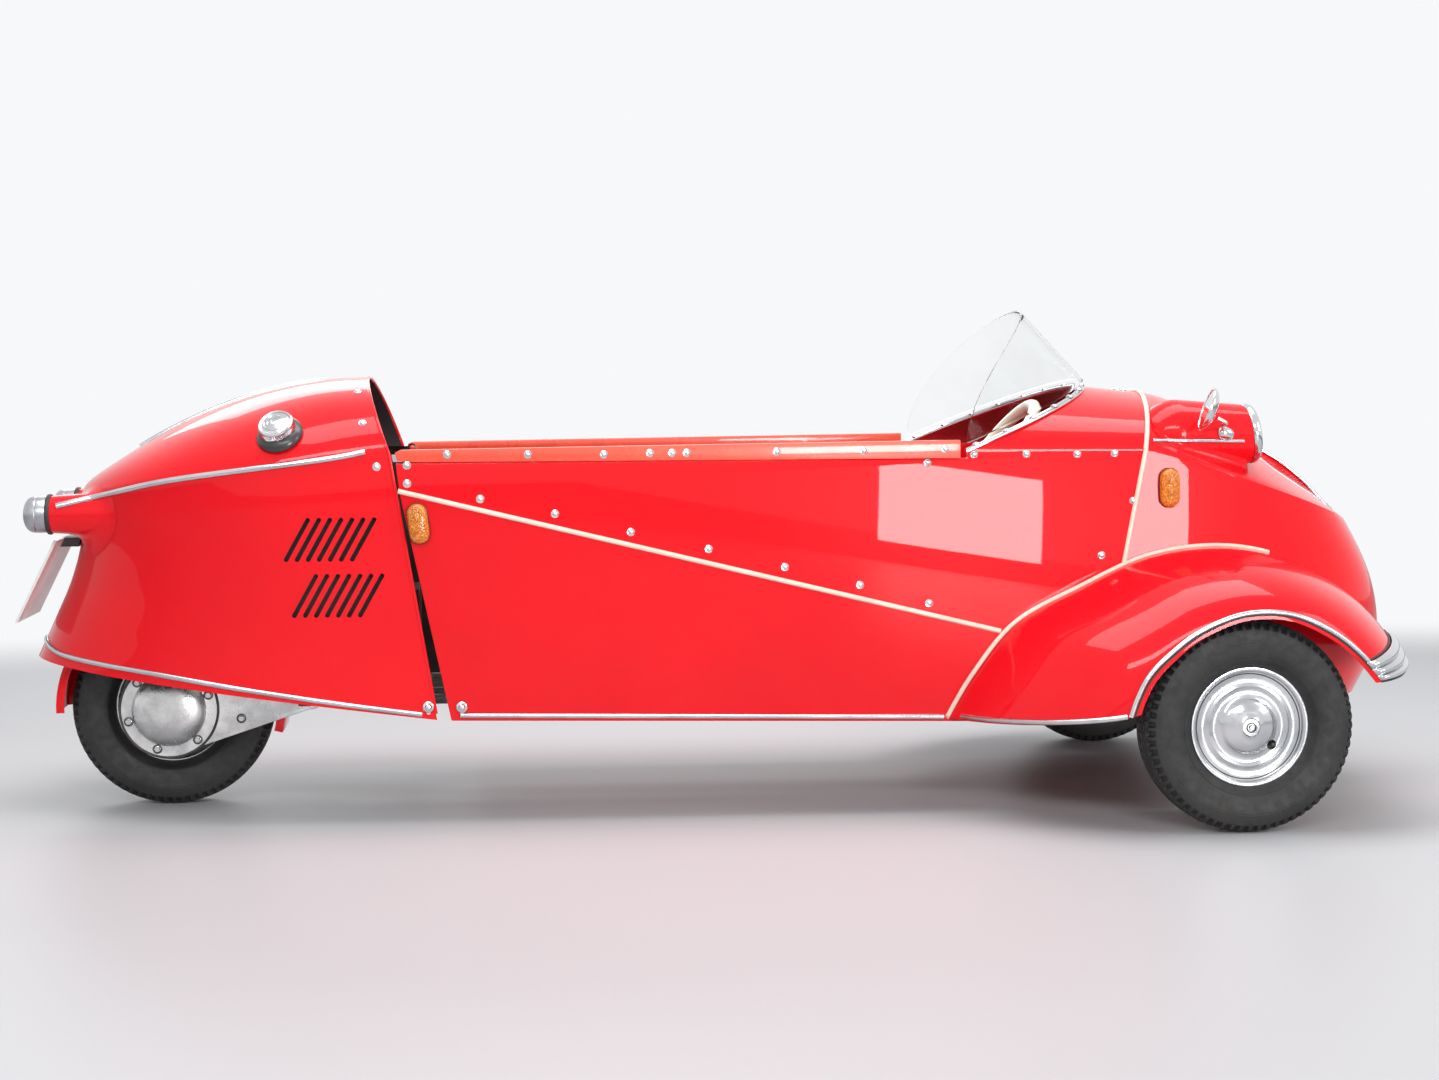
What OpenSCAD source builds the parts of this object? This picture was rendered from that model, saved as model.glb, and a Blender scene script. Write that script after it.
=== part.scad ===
// Open three wheeled car with two seats in line: two steered wheels in front, one driven
// wheel behind. X runs forward, Y to the car's left, Z up, and the origin is on the ground at
// the middle of the length. Stations along the car are measured forward from the rear axle.

/* [Overall] */
// Distance between the axles
wheelbase = 2027; // [1980:1:2080]
// Distance between the middles of the front tyres
track = 1080; // [1076:1:1090]
// Length behind the rear axle, to the foot of the number plate
rear_overhang = 288; // [286:1:300]
// Length ahead of the front axle, to the tip of the nose
front_overhang = 452; // [445:1:465]

/* [Body] */
// Half of the body's width at the crease along its sides
body_half_w = 332; // [326:1:336]
// Thickness of the cockpit's side walls
side_t = 14; // [10:1:18]
// Thickness of the tail, nose, cowl and wings
skin_t = 4; // [3:0.5:6]
// Height of the side walls' upper edge
wall_top = 702; // [696:1:708]
// Height of the floor's upper face
floor_top = 204; // [200:1:210]
// Thickness of the floor
floor_t = 4; // [3:0.5:6]
// Height of the fairing's hoop above the side walls
hoop_h = 147; // [135:1:160]
// Height of the cowl above the side walls at the screen's foot
cowl_h = 125; // [118:1:132]

/* [Wheels] */
// Radius of the tyres
tyre_r = 198; // [194:0.5:202]
// Width of the tyres
tyre_w = 100; // [92:1:106]
// Radius of the rims' edges
rim_r = 118; // [115:0.5:121]
// Radius of the tyres' seats on the rims
seat_r = 103; // [100:0.5:105]
// Half of the rims' width
rim_half_w = 34; // [30:1:36]
// Radius of the stub axles
axle_r = 10; // [8:0.5:12]
// Gap between an axle and its hub
axle_gap = 0.5; // [0.3:0.1:1]

/* [Steering] */
// Distance from a front tyre's middle inward to its kingpin
kingpin_in = 75; // [72:1:80]
// Radius of the kingpins
kingpin_r = 8.5; // [7:0.5:10]
// Height of the kingpins' sleeves
sleeve_h = 70; // [60:2:80]
// Rake of the steering column from level
column_rake = 38; // [34:1:42]

/* [Lamps] */
// Radius of the headlamps' pods
pod_r = 58; // [54:1:61]
// Radius of the tail lamps
tail_lamp_r = 36; // [32:1:38]

/* [Screen] */
// Height of the screen above the side walls
screen_h = 280; // [260:1:300]
// Thickness of the screen
screen_t = 4; // [3:0.5:5]

/* [Rear end] */
// Radius of the chain case's round end
case_r = 98; // [92:1:102]
// Clearance between the rear tyre and the mudguard
guard_clear = 22; // [16:1:26]
// Width of the mudguard
guard_w = 126; // [122:1:127]

/* [Hidden] */

fx = wheelbase;                                   // station of the front axle
mid_x = (wheelbase + front_overhang - rear_overhang) / 2;
gap = 0.3;                                        // between pieces that lie on each other
fine = 64;

// ---- shared forms ----

function mix(a, b, t) = a + (b - a) * t;
function held(t, a, b) = min(max(t, a), b);
function unit(v) = v / norm(v);

// A smooth curve through the rows of p, from the first at t = 0 to the last at t = 1
function row(p, i) = p[held(i, 0, len(p) - 1)];
function through(p, t) =
    let (s = t * (len(p) - 1), i = min(floor(s), len(p) - 2), k = s - i)
    let (a = row(p, i - 1), b = row(p, i), c = row(p, i + 1), d = row(p, i + 2))
    b + 0.5 * k * (c - a + k * (2 * a - 5 * b + 4 * c - d + k * (3 * (b - c) + d - a)));

// Outward direction of the surface f, which runs forward with u and upward with v
function facing(f, u, v) =
    let (e = 0.004)
    let (du = f(min(u + e, 1), v) - f(max(u - e, 0), v))
    let (dv = f(u, min(v + e, 1)) - f(u, max(v - e, 0)))
    unit(cross(du, dv));

// A point of f moved along its outward direction; points of the middle plane stay in it
function moved(f, u, v, by) =
    let (p = f(u, v), q = p + by * facing(f, u, v))
    abs(p[1]) < 0.01 ? [q[0], 0, q[2]] : q;

// Closed solid between two grids of points that face each other
module sheet(outer, inner) {
    nu = len(outer) - 1;
    nv = len(outer[0]) - 1;
    n = (nu + 1) * (nv + 1);
    function at(i, j) = i * (nv + 1) + j;
    function quad(a, b, c, d) = [[a, d, c], [a, c, b]];
    faces = [
        for (i = [0:nu - 1]) for (j = [0:nv - 1])
            each quad(at(i, j), at(i + 1, j), at(i + 1, j + 1), at(i, j + 1)),
        for (i = [0:nu - 1]) for (j = [0:nv - 1])
            each quad(n + at(i, j), n + at(i, j + 1), n + at(i + 1, j + 1), n + at(i + 1, j)),
        for (i = [0:nu - 1]) each quad(at(i, 0), n + at(i, 0), n + at(i + 1, 0), at(i + 1, 0)),
        for (i = [0:nu - 1])
            each quad(at(i + 1, nv), n + at(i + 1, nv), n + at(i, nv), at(i, nv)),
        for (j = [0:nv - 1]) each quad(at(0, j + 1), n + at(0, j + 1), n + at(0, j), at(0, j)),
        for (j = [0:nv - 1])
            each quad(at(nu, j), n + at(nu, j), n + at(nu, j + 1), at(nu, j + 1))
    ];
    polyhedron([for (g = [outer, inner]) for (r = g) each r], faces, convexity = 10);
}

// Skin of thickness t whose outside is f
module skin(f, t, nu, nv)
    sheet([for (i = [0:nu]) [for (j = [0:nv]) f(i / nu, j / nv)]],
          [for (i = [0:nu]) [for (j = [0:nv]) moved(f, i / nu, j / nv, -t)]]);

// Everything between f, grown by g, and the middle plane
module filled(f, g, nu, nv)
    sheet([for (i = [0:nu]) [for (j = [0:nv]) moved(f, i / nu, j / nv, g)]],
          [for (i = [0:nu]) [for (j = [0:nv])
              let (p = moved(f, i / nu, j / nv, g)) [p[0], 10, p[2]]]]);

module both_sides() {
    children();
    mirror([0, 1, 0]) children();
}

// One closed skin out of its children
module welded() resize([0, 0, 0]) children();

module from_rear_axle() translate([-mid_x, 0, 0]) children();

// Outline in x and z, made y deep toward the car's left
module side_cut(y0, y1) translate([0, y1, 0]) rotate([90, 0, 0]) linear_extrude(y1 - y0) children();

// ---- the body's form ----

bead_rear = [460, 637];                            // crease along the sides, in x and z
bead_front = [fx - 410, 355];
crease_slope = (bead_front[1] - bead_rear[1]) / (bead_front[0] - bead_rear[0]);
upper_lean = 0.03;
lower_lean = 0.05;
function crease_z(x) = bead_rear[1] + (x - bead_rear[0]) * crease_slope;
function side_y(x, z) =
    let (above = z - crease_z(x))
    body_half_w - upper_lean * max(above, 0) - lower_lean * max(-above, 0);

// Both ends swell from the section at their seam to the profile in the middle plane
swell = 0.71;
function bulged(seam, spine, c, s, m) = [
    mix(seam[0], spine[0], pow(c, swell)),
    seam[1] * s,
    mix(seam[2], spine[1], pow(c, m))
];
waist = 0.5;                                      // share of a grid's rows below the waist

// Tail: seam with the cockpit, then the hoop
tail_foot = [530, 200];
hoop_foot = [447, wall_top + 2];
hoop_lean = 52;
function tail_seam(v) =
    v <= waist
        ? let (x = mix(tail_foot[0], hoop_foot[0], v / waist),
               z = mix(tail_foot[1], hoop_foot[1], v / waist)) [x, -side_y(x, z), z]
        : let (a = 90 * (v - waist) / (1 - waist))
          [hoop_foot[0] - hoop_lean * sin(a),
           -side_y(hoop_foot[0], hoop_foot[1]) * cos(a),
           hoop_foot[1] + hoop_h * sin(a)];
// x and z up the middle of the tail, from its lower edge
tail_profile = [
    [-262, 304], [-226, 381], [-193, 458], [-173, 536], [-172, 613],
    [-169, 628], [-162, 642], [-152, 652], [-140, 660]
];
tail_form = function (u, v)
    bulged(tail_seam(v), through(tail_profile, v), cos(90 * u), sin(90 * u),
           mix(swell, 1.45, max(v - waist, 0) / (1 - waist)));

// Nose: seam with the side walls and the cowl
bead_top = [fx - 128, wall_top];
bead_slope = 0.2;
cowl_drop = 13;
cowl_run = 73;
function cowl_front(a) = [
    bead_top[0] + cowl_run * pow(1 - cos(a), 0.8),
    -side_y(bead_top[0], wall_top) * cos(a),
    wall_top + (cowl_h - cowl_drop) * sin(a)
];
nose_bottom = 196;
function nose_seam(v) =
    v <= waist
        ? let (z = mix(nose_bottom, wall_top, v / waist),
               x = bead_top[0] - bead_slope * (wall_top - z)) [x, -side_y(x, z), z]
        : cowl_front(90 * (v - waist) / (1 - waist));
// x ahead of the front axle and z up the middle of the nose, from its lower edge
nose_profile = [
    [402, 196], [444, 280], [452, 352], [428, 445], [374, 545],
    [318, 612], [256, 665], [187, 706], [113, 746]
];
nose_form = function (u, v)
    let (p = through(nose_profile, v), c = max(v - waist, 0) / (1 - waist))
    bulged(nose_seam(v), [fx + p[0] + front_overhang - 452, p[1]],
           sin(90 * u), pow(cos(90 * u), 1 + 6 * c - 2.5 * c * c),
           0.8 + 0.3 * c - 1.8 * c * (1 - c));

// Cowl between the screen's foot and the nose
screen_foot_x = fx - 478;
screen_foot_run = 298;
function screen_foot(a) = [
    screen_foot_x + screen_foot_run * sin(a),
    -side_y(screen_foot_x, wall_top) * cos(a),
    wall_top + cowl_h * sin(a)
];
cowl_form = function (u, v)
    mix(screen_foot(90 * v), cowl_front(90 * v), u) + [0, 0, gap];
cowl_steps = 14;                                  // rows of the cowl, the screen and its channel

// Wing, x ahead of the front axle: joint with the body, inside the body's half width, and lip,
// outside the middle of the tyre
wing_joint = [
    [-518, 1, 188], [-467, 1, 275], [-387, 1, 372], [-260, 1, 439], [-127, 6, 497],
    [3, 14, 515], [125, 32, 499], [245, 70, 450], [345, 124, 372], [402, 182, 288]
];
wing_lip = [
    [-213, 60, 228], [-204, 63, 256], [-187, 65, 289], [-157, 66, 323], [-105, 67, 364],
    [-27, 68, 397], [58, 68, 398], [133, 67, 367], [188, 65, 326], [230, 62, 280]
];
wing_form = function (u, v)
    let (a = 90 * (1 - v), p = through(wing_joint, u), q = through(wing_lip, u))
    let (inner_y = body_half_w - p[1] - 14, lip_y = track / 2 + q[1])
    [fx + mix(p[0], q[0], pow((1 - cos(a) + sin(a)) / 2, 1 + u / 2)),
     -mix(inner_y, lip_y, sin(a)),
     mix(q[2], p[2], cos(a))];

// ---- cockpit ----

module floor_pan() color("dimgray") from_rear_axle()
    translate([0, 0, floor_top - floor_t]) linear_extrude(floor_t) {
        x0 = 566;
        x1 = fx - 42;
        y0 = side_y(x0, floor_top) - side_t - gap;
        y1 = side_y(fx - 240, floor_top) - side_t - gap;
        polygon([[x0, -y0], [x1, -y1 + 8], [x1, y1 - 8], [x0, y0]]);
    }

frame_y = 120;
frame_r = 16;
frame_z = floor_top + frame_r + gap;
frame_rear = 255;
frame_front = fx - 60;
pivot_x = 276;                                    // tube that the rear arm swings on
engine_x = [300, 490];
module chassis_frame() color("black") from_rear_axle() {
    both_sides() translate([frame_rear, -frame_y, frame_z]) rotate([0, 90, 0])
        cylinder(r = frame_r, h = frame_front - frame_rear, $fn = fine);
    for (x = [pivot_x, engine_x[0] + 45, engine_x[1] - 25, 1300, frame_front - frame_r])
        translate([x, -frame_y, frame_z]) rotate([-90, 0, 0])
            cylinder(r = frame_r, h = 2 * frame_y, $fn = fine);
}

bulkhead_foot = 575;
bulkhead_head = [500, 640];
module rear_bulkhead() color("firebrick") from_rear_axle() {
    half = side_y(bulkhead_foot, floor_top) - side_t - gap;
    difference() {
        side_cut(-half, half) polygon([
            [bulkhead_foot, floor_top + gap], [bulkhead_foot + 8, floor_top + gap],
            [bulkhead_head[0] + 8, bulkhead_head[1]], [bulkhead_head[0], bulkhead_head[1]]
        ]);
        both_sides() translate([bulkhead_head[0], -frame_y, frame_z]) rotate([0, 90, 0])
            cylinder(r = frame_r + gap, h = 100, $fn = fine);
    }
}

// Side wall: two flat sheets that meet at the crease, each as thick as the wall
sill_rear = [557, 198];
sill_front = [fx - 240, 176];
wall_rear_top = [459, 688];
rail_z = 690;
module side_wall(t, g) {
    nose_x = bead_top[0] - gap;
    x_low = nose_x - bead_slope * (wall_top - sill_front[1]);
    x_mid = nose_x - bead_slope * (wall_top - crease_z(nose_x - 80));
    upper = [[465, crease_z(465)], [x_mid, crease_z(x_mid)], [nose_x, wall_top],
             [screen_foot_x, wall_top], [screen_foot_x, rail_z], wall_rear_top];
    lower = [[467, crease_z(465) - 10], sill_rear, [x_low, sill_front[1]],
             [x_mid, crease_z(x_mid)], [465, crease_z(465)]];
    for (part = [upper, lower]) {
        n = len(part);
        polyhedron(
            [for (p = part) [p[0], -side_y(p[0], p[1]) - g, p[1]],
             for (p = part) [p[0], -side_y(p[0], p[1]) + t, p[1]]],
            [[for (i = [n - 1:-1:0]) i], [for (i = [0:n - 1]) n + i],
             for (i = [0:n - 1]) [i, (i + 1) % n, n + (i + 1) % n, n + i]]);
    }
}
module side_panel_right() color("red") from_rear_axle() welded() side_wall(side_t, 0);
module side_panel_left() color("red") from_rear_axle() mirror([0, 1, 0]) welded()
    side_wall(side_t, 0);

rail_h = 31;
rail_w = 24;
rail_front = screen_foot_x - 16;
hinge_at = [468, wall_top - 2];                   // the tail's hinge, on the rails' ends
hinge_r = 6;
hinge_w = 12;
module coaming_rail() {
    y = -side_y(1000, rail_z) - 3;
    side_cut(y, y + rail_w) polygon([
        [458, 708], [468, 713], [rail_front, rail_z + rail_h + 4],
        [rail_front, rail_z + gap], [500, rail_z + gap], [462, 692]
    ]);
    translate([hinge_at[0], y + rail_w - 1, hinge_at[1]]) rotate([-90, 0, 0])
        cylinder(r = hinge_r, h = hinge_w + 2, $fn = fine);
}
module coaming_rail_right() color("orangered") from_rear_axle() coaming_rail();
module coaming_rail_left() color("orangered") from_rear_axle() mirror([0, 1, 0]) coaming_rail();

module scuttle_cowl() color("red") from_rear_axle() welded() both_sides() difference() {
    skin(cowl_form, skin_t, 6, cowl_steps);
    translate([-gap, 0, 0]) filled(nose_form, 0.05, 12, 16);
}

// ---- nose, wings and lamps ----

lamp_at = [fx + 97, body_half_w - 97, 731];
lamp_tilt = 8;                                    // the lamps look up by this angle
pod_len = 180;
pod_swell = 14;                                   // the pods widen rearward by this much
beam_r = 22;
beam_hole_r = 29;
pocket_r = pod_r + 5;                             // room round the lamp's ring
module at_lamp(turn) translate([lamp_at[0], -lamp_at[1], lamp_at[2]]) rotate([0, turn, 0])
    children();
module nose_shell() color("red") from_rear_axle() welded() difference() {
    both_sides() {
        intersection() {
            skin(nose_form, skin_t, 12, 16);
            filled(nose_form, 0.05, 12, 16);
        }
        at_lamp(-90) translate([0, 0, -10])
            cylinder(r1 = pod_r, r2 = pod_r + pod_swell, h = pod_len + 10, $fn = 32);
        intersection() {
            at_lamp(90 - lamp_tilt) translate([0, 0, -skin_t])
                cylinder(r = pocket_r + skin_t, h = 90, $fn = 32);
            filled(nose_form, -skin_t / 2, 12, 16);
        }
    }
    translate([fx, -400, tyre_r]) rotate([-90, 0, 0])
        cylinder(r = beam_hole_r, h = 800, $fn = 32);
    both_sides() at_lamp(90 - lamp_tilt) cylinder(r = pocket_r, h = 100, $fn = 32);
}

module fender() welded() difference() {
    skin(wing_form, skin_t, 18, 9);
    filled(nose_form, gap, 12, 16);
    side_wall(body_half_w - 40, gap);
}
module fender_right() color("red") from_rear_axle() fender();
module fender_left() color("red") from_rear_axle() mirror([0, 1, 0]) fender();

// Three ribs round the wing's tip
rib_depth = 9;
band_u = [0.915, 0.99];                           // share of the wing's length, rear and front
band_v = [0.05, 0.7];                             // share of its section, lower and upper end
band_gap = 0.8;
function rib(i) = 4 + rib_depth * abs(sin(60 * i));
module bumperette()
    sheet([for (i = [0:9]) [for (j = [0:8])
              moved(wing_form, mix(band_u[0], band_u[1], i / 9), mix(band_v[0], band_v[1], j / 8),
                    rib(i))]],
          [for (i = [0:9]) [for (j = [0:8])
              moved(wing_form, mix(band_u[0], band_u[1], i / 9), mix(band_v[0], band_v[1], j / 8),
                    band_gap)]]);
module bumperette_right() color("silver") from_rear_axle() bumperette();
module bumperette_left() color("silver") from_rear_axle() mirror([0, 1, 0]) bumperette();

// Chrome ring and lens on the pod's front face
module headlamp() at_lamp(90 - lamp_tilt) translate([0, 0, gap])
    rotate_extrude($fn = fine) polygon([
        [0, 0], [pod_r, 0], [pod_r + 2, 6], [pod_r, 14], [pod_r - 6, 19], [pod_r - 9, 16],
        [40, 24], [20, 28], [0, 29]
    ]);
module headlamp_right() color("silver") from_rear_axle() headlamp();
module headlamp_left() color("silver") from_rear_axle() mirror([0, 1, 0]) headlamp();

// Amber lamps on the nose's flanks and on the side walls by the tail
side_lamp_r = 20;
side_lamp_out = 22;
module side_lamp(at) translate(at) rotate([90, 0, 0]) {
    for (s = [-1, 1]) translate([0, s * 15, 0]) cylinder(r = side_lamp_r, h = side_lamp_out, $fn = 40);
    translate([-side_lamp_r, -15, 0]) cube([2 * side_lamp_r, 30, side_lamp_out]);
}
module side_lamps() color("orange") from_rear_axle() both_sides() {
    side_lamp(nose_form(0.028, 0.44) - [0, 2 * gap, 0]);
    side_lamp([500, -side_y(500, 610) - gap, 575]);
}

// ---- screen, mirrors, dashboard and steering ----

screen_top_x = 167;
screen_form = function (u, v)
    let (a = 90 * v, foot = screen_foot(a))
    let (top = [screen_foot_x + screen_top_x * pow(sin(a), 1.3), foot[1],
                wall_top + 30 + (screen_h - 30) * pow(sin(a), 0.8)])
    let (low = foot + [0, 0, 17]) mix(low, top, u);
module windscreen() color("lightcyan", 0.4) from_rear_axle()
    welded() both_sides() skin(function (u, v) screen_form(1 - u, v), screen_t, 8, cowl_steps);

channel_h = 10;
channel_w = 20;
module windscreen_frame() color("silver") from_rear_axle() welded() both_sides() {
    edge = function (i, z) [for (j = [0:cowl_steps])
        screen_foot(90 * j / cowl_steps) + [6 - channel_w * (1 - i), 0, z]];
    sheet([for (i = [0:1]) edge(i, channel_h)], [for (i = [0:1]) edge(i, 2 * gap)]);
}

mirror_at = [fx - 17, -body_half_w - 13, 783];
mirror_foot_r = 13;
function pod_r_at(x) = pod_r + pod_swell * (lamp_at[0] + 10 - x) / (pod_len + 10);
mirror_foot = [fx + 35, -lamp_at[1] - pod_r_at(fx + 35 - mirror_foot_r) - gap, 735];
module rod(a, b, r) {
    d = b - a;
    translate(a) rotate([0, acos(d[2] / norm(d)), atan2(d[1], d[0])])
        cylinder(r = r, h = norm(d), $fn = 32);
}
module mirror_arm() {
    translate(mirror_at) rotate([0, -70, -8]) translate([0, 0, -22])
        rotate_extrude($fn = fine) polygon([[0, 22], [40, 22], [43, 17], [36, 6], [12, 0], [0, 0]]);
    rod(mirror_at + [12, 4, -3], mirror_foot + [0, -5, 0], 5);
    translate(mirror_foot) rotate([90, 0, 0]) cylinder(r = mirror_foot_r, h = 8, $fn = 40);
}
module mirror_right() color("silver") from_rear_axle() mirror_arm();
module mirror_left() color("silver") from_rear_axle() mirror([0, 1, 0]) mirror_arm();

dash_x = fx - 225;
dash_t = 12;
module dashboard() color("firebrick") from_rear_axle() {
    half = side_y(dash_x, wall_top) - side_t - gap;
    difference() {
        union() {
            translate([dash_x, -half, 560]) cube([dash_t, 2 * half, 138]);
            translate([dash_x - 14, 110, 640]) rotate([0, 90, 0]) cylinder(r = 38, h = 16, $fn = fine);
        }
        column_frame() cylinder(r = column_r + gap, h = column_len, $fn = fine);
    }
}

column_r = 14;
column_top = [fx - 332, 676];
column_len = 260;
module column_frame() translate([column_top[0], 0, column_top[1]])
    rotate([0, 90 + column_rake, 0]) children();
module steering_column() color("black") from_rear_axle() column_frame()
    cylinder(r = column_r, h = column_len, $fn = fine);
wheel_r = 122;
module steering_bar() color("ivory") from_rear_axle() column_frame() {
    translate([0, 0, -34]) cylinder(r = 26, h = 34 - gap, $fn = fine);
    translate([0, 0, -24]) rotate([0, 0, 20]) rotate_extrude(angle = 320, $fn = fine)
        translate([wheel_r, 0]) circle(r = 13, $fn = 32);
    translate([0, 0, -24]) rotate([90, 0, 0])
        cylinder(r = 9, h = 2 * wheel_r, center = true, $fn = 32);
}

// ---- seats ----

front_seat_x = 1090;
rear_seat_x = 690;
pad_r = 22;
pad_t = 90;
back_len = 320;
back_t = 66;

// Pad with rounded edges and a crowned face; its back lower edge is at the origin. Rings run
// from the underside up, each with its inset from the outline and its height.
corner_r = 60;
crown = 9;
module cushion(long, wid, thick) {
    edge_z = thick - crown - pad_r;
    rings = [
        for (a = [-90, -45, 0]) [pad_r * (1 - cos(a)), pad_r * (1 + sin(a))],
        for (a = [0, 45, 80]) [pad_r * (1 - cos(a)), edge_z + pad_r * sin(a)],
        [corner_r * 0.8, thick]
    ];
    turns = [for (k = [0:3]) each [for (a = [0:30:90]) [k, 90 * k + a]]];
    n = len(turns);
    polyhedron(
        [for (r = rings) for (t = turns)
            [long / 2 + (cos(90 * t[0] + 45) > 0 ? 1 : -1) * (long / 2 - corner_r)
                + (corner_r - r[0]) * cos(t[1]),
             (sin(90 * t[0] + 45) > 0 ? 1 : -1) * (wid / 2 - corner_r)
                + (corner_r - r[0]) * sin(t[1]), r[1]]],
        [
            [for (i = [0:n - 1]) i],
            [for (i = [n - 1:-1:0]) (len(rings) - 1) * n + i],
            for (j = [0:len(rings) - 2]) for (i = [0:n - 1])
                let (a = j * n + i, b = j * n + (i + 1) % n) each [[a, a + n, b + n], [a, b + n, b]]
        ]);
}

// station, height of the lower edge, pitch, back's pitch from level, length, width
seats = [
    [front_seat_x, 285, 8, 112, 420, 430],
    [rear_seat_x, 265, 6, 106, 300, 480]
];
module seat_pad(s) translate([s[0], 0, s[1]]) rotate([0, -s[2], 0]) cushion(s[4], s[5], pad_t);
module seat_back(s) translate([s[0] - 4, 0, s[1] + pad_t - 17]) rotate([0, -s[3], 0])
    translate([0, 0, back_t]) mirror([0, 0, 1]) cushion(back_len, s[5], back_t);
module front_seat_cushion() color("maroon") from_rear_axle() seat_pad(seats[0]);
module front_seat_back() color("maroon") from_rear_axle() seat_back(seats[0]);
module rear_seat_cushion() color("maroon") from_rear_axle() seat_pad(seats[1]);
module rear_seat_back() color("maroon") from_rear_axle() seat_back(seats[1]);

// Side plates that stand on the floor under each cushion and its back
plate_y = 152;
module seat_frame() color("gray") from_rear_axle() both_sides() for (s = seats) {
    x0 = s[0] + pad_r;
    x1 = s[0] + s[4] - 2 * pad_r;
    back = [s[0] - 4, s[1] + pad_t - 17];
    foot = floor_top + gap;
    under = function (x) s[1] + (x - s[0]) * tan(s[2]) - gap;
    under_back = function (x) back[1] + (x - back[0]) * tan(s[3] - 90) - gap;
    side_cut(-plate_y, 12 - plate_y) polygon([
        [s[0] - 60, foot], [x1, foot], [x1, under(x1)], [x0, under(x0)], [s[0] - 16, under(x0)],
        [s[0] - 16, under_back(s[0] - 16)], [s[0] - 60, under_back(s[0] - 60)]
    ]);
}

// ---- tail ----

tail_lamp_at = [-205, 150, 589];
slot_rows = [[246, 505], [259, 399]];              // rear lower corner of each row, x and z
slot_step = 20.5;
slot_lean = 46;
slot_rise = 82;
slot_w = 10;
module tail_shell() color("red") from_rear_axle() welded() difference() {
    both_sides() {
        skin(tail_form, skin_t, 12, 16);
        translate([tail_lamp_at[0], -tail_lamp_at[1], tail_lamp_at[2]]) rotate([0, 90, 0])
            cylinder(r1 = tail_lamp_r, r2 = tail_lamp_r + 8, h = 120, $fn = 32);
    }
    both_sides() side_cut(-400, -200)
        for (r = slot_rows) for (k = [0:6]) translate([r[0] + k * slot_step, r[1]])
            polygon([[0, 0], [slot_w, 0], [slot_w + slot_lean, slot_rise], [slot_lean, slot_rise]]);
}

module tail_hinges() color("silver") from_rear_axle() both_sides() {
    y = -side_y(1000, rail_z) - 3 + rail_w + gap;
    y_skin = -side_y(hoop_foot[0], hoop_foot[1]) + skin_t + 1;
    translate([hinge_at[0], y, hinge_at[1]]) rotate([-90, 0, 0]) difference() {
        union() {
            cylinder(r = hinge_r + 4, h = hinge_w, $fn = fine);
            translate([-60, -4, 0]) cube([60, 14, hinge_w]);
        }
        translate([0, 0, -1]) cylinder(r = hinge_r + gap, h = hinge_w + 2, $fn = fine);
    }
    translate([hinge_at[0] - 60, y_skin, hinge_at[1] - 10]) cube([30, y - y_skin + 1, 8]);
}

cap_place = [0.88, 0.65];                         // shares of the tail's length and section
cap_seat = 1.1;                                   // the shell's flat faces lie this far in
cap_r = 34;
cap_base_r = 44;
module filler_cap() color("silver") from_rear_axle() {
    n = facing(tail_form, cap_place[0], cap_place[1]);
    translate(moved(tail_form, cap_place[0], cap_place[1], -cap_seat))
        rotate([0, acos(n[2]), atan2(n[1], n[0])]) {
            cylinder(r = cap_base_r, h = 13, $fn = fine);
            translate([0, 0, 13]) cylinder(r = cap_r, h = 27, $fn = fine);
        }
}

module tail_lamps() color("silver") from_rear_axle() both_sides()
    translate([tail_lamp_at[0] - gap, -tail_lamp_at[1], tail_lamp_at[2]]) rotate([0, -90, 0])
        rotate_extrude($fn = fine) polygon([
            [0, 0], [tail_lamp_r, 0], [tail_lamp_r, 30], [tail_lamp_r - 5, 42],
            [tail_lamp_r - 14, 50], [0, 53]
        ]);

plate_foot = [-rear_overhang, 376];
module number_plate() color("white") from_rear_axle() {
    side_cut(-110, 110) polygon([
        plate_foot, [plate_foot[0] + 5, 376], [plate_foot[0] + 83, 535], [plate_foot[0] + 78, 537]
    ]);
    head = through(tail_profile, 0.375)[0];
    side_cut(-30, 30) polygon([
        [plate_foot[0] + 77, 536], [head - gap, 536], [head - 5, 518], [plate_foot[0] + 72, 518]
    ]);
}

module latches() color("silver") from_rear_axle() both_sides()
    translate([565, -side_y(577, 236) - 14 - gap, 212]) cube([24, 14, 22]);

// ---- engine, rear wheel and its arm ----

module engine_block() color("dimgray") from_rear_axle()
    translate([engine_x[0], -60, frame_z + frame_r + gap])
        cube([engine_x[1] - engine_x[0], 170, 190]);

case_in = 64;
case_t = 26;
case_arm = [pivot_x, frame_z];
case_arm_r = 27;
module chain_case() color("darkgray") from_rear_axle() {
    translate([0, -case_in, tyre_r]) rotate([90, 0, 0]) difference() {
        chain_case_body();
        translate([case_arm[0], case_arm[1] - tyre_r, -1])
            cylinder(r = frame_r + gap, h = case_t + 2, $fn = fine);
    }
    translate([0, -case_in - 1, tyre_r]) rotate([-90, 0, 0]) {
        cylinder(r = axle_r, h = case_in + 34, $fn = fine);
        cylinder(r = 60, h = 28, $fn = fine);
    }
}
module chain_case_body() {
    arm_y = case_arm[1] - tyre_r;
    cylinder(r = case_r, h = case_t, $fn = fine);
    translate([0, 0, case_t]) rotate_extrude($fn = fine)
        polygon([[0, 0], [72, 0], [66, 12], [48, 22], [24, 27], [0, 28]]);
    linear_extrude(case_t) polygon([
        [8, case_r - 1], [case_arm[0], arm_y + case_arm_r - 1],
        [case_arm[0], arm_y - case_arm_r + 1], [-8, -case_r + 1]
    ]);
    translate([case_arm[0], arm_y, 0]) cylinder(r = case_arm_r, h = case_t, $fn = fine);
}

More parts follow.
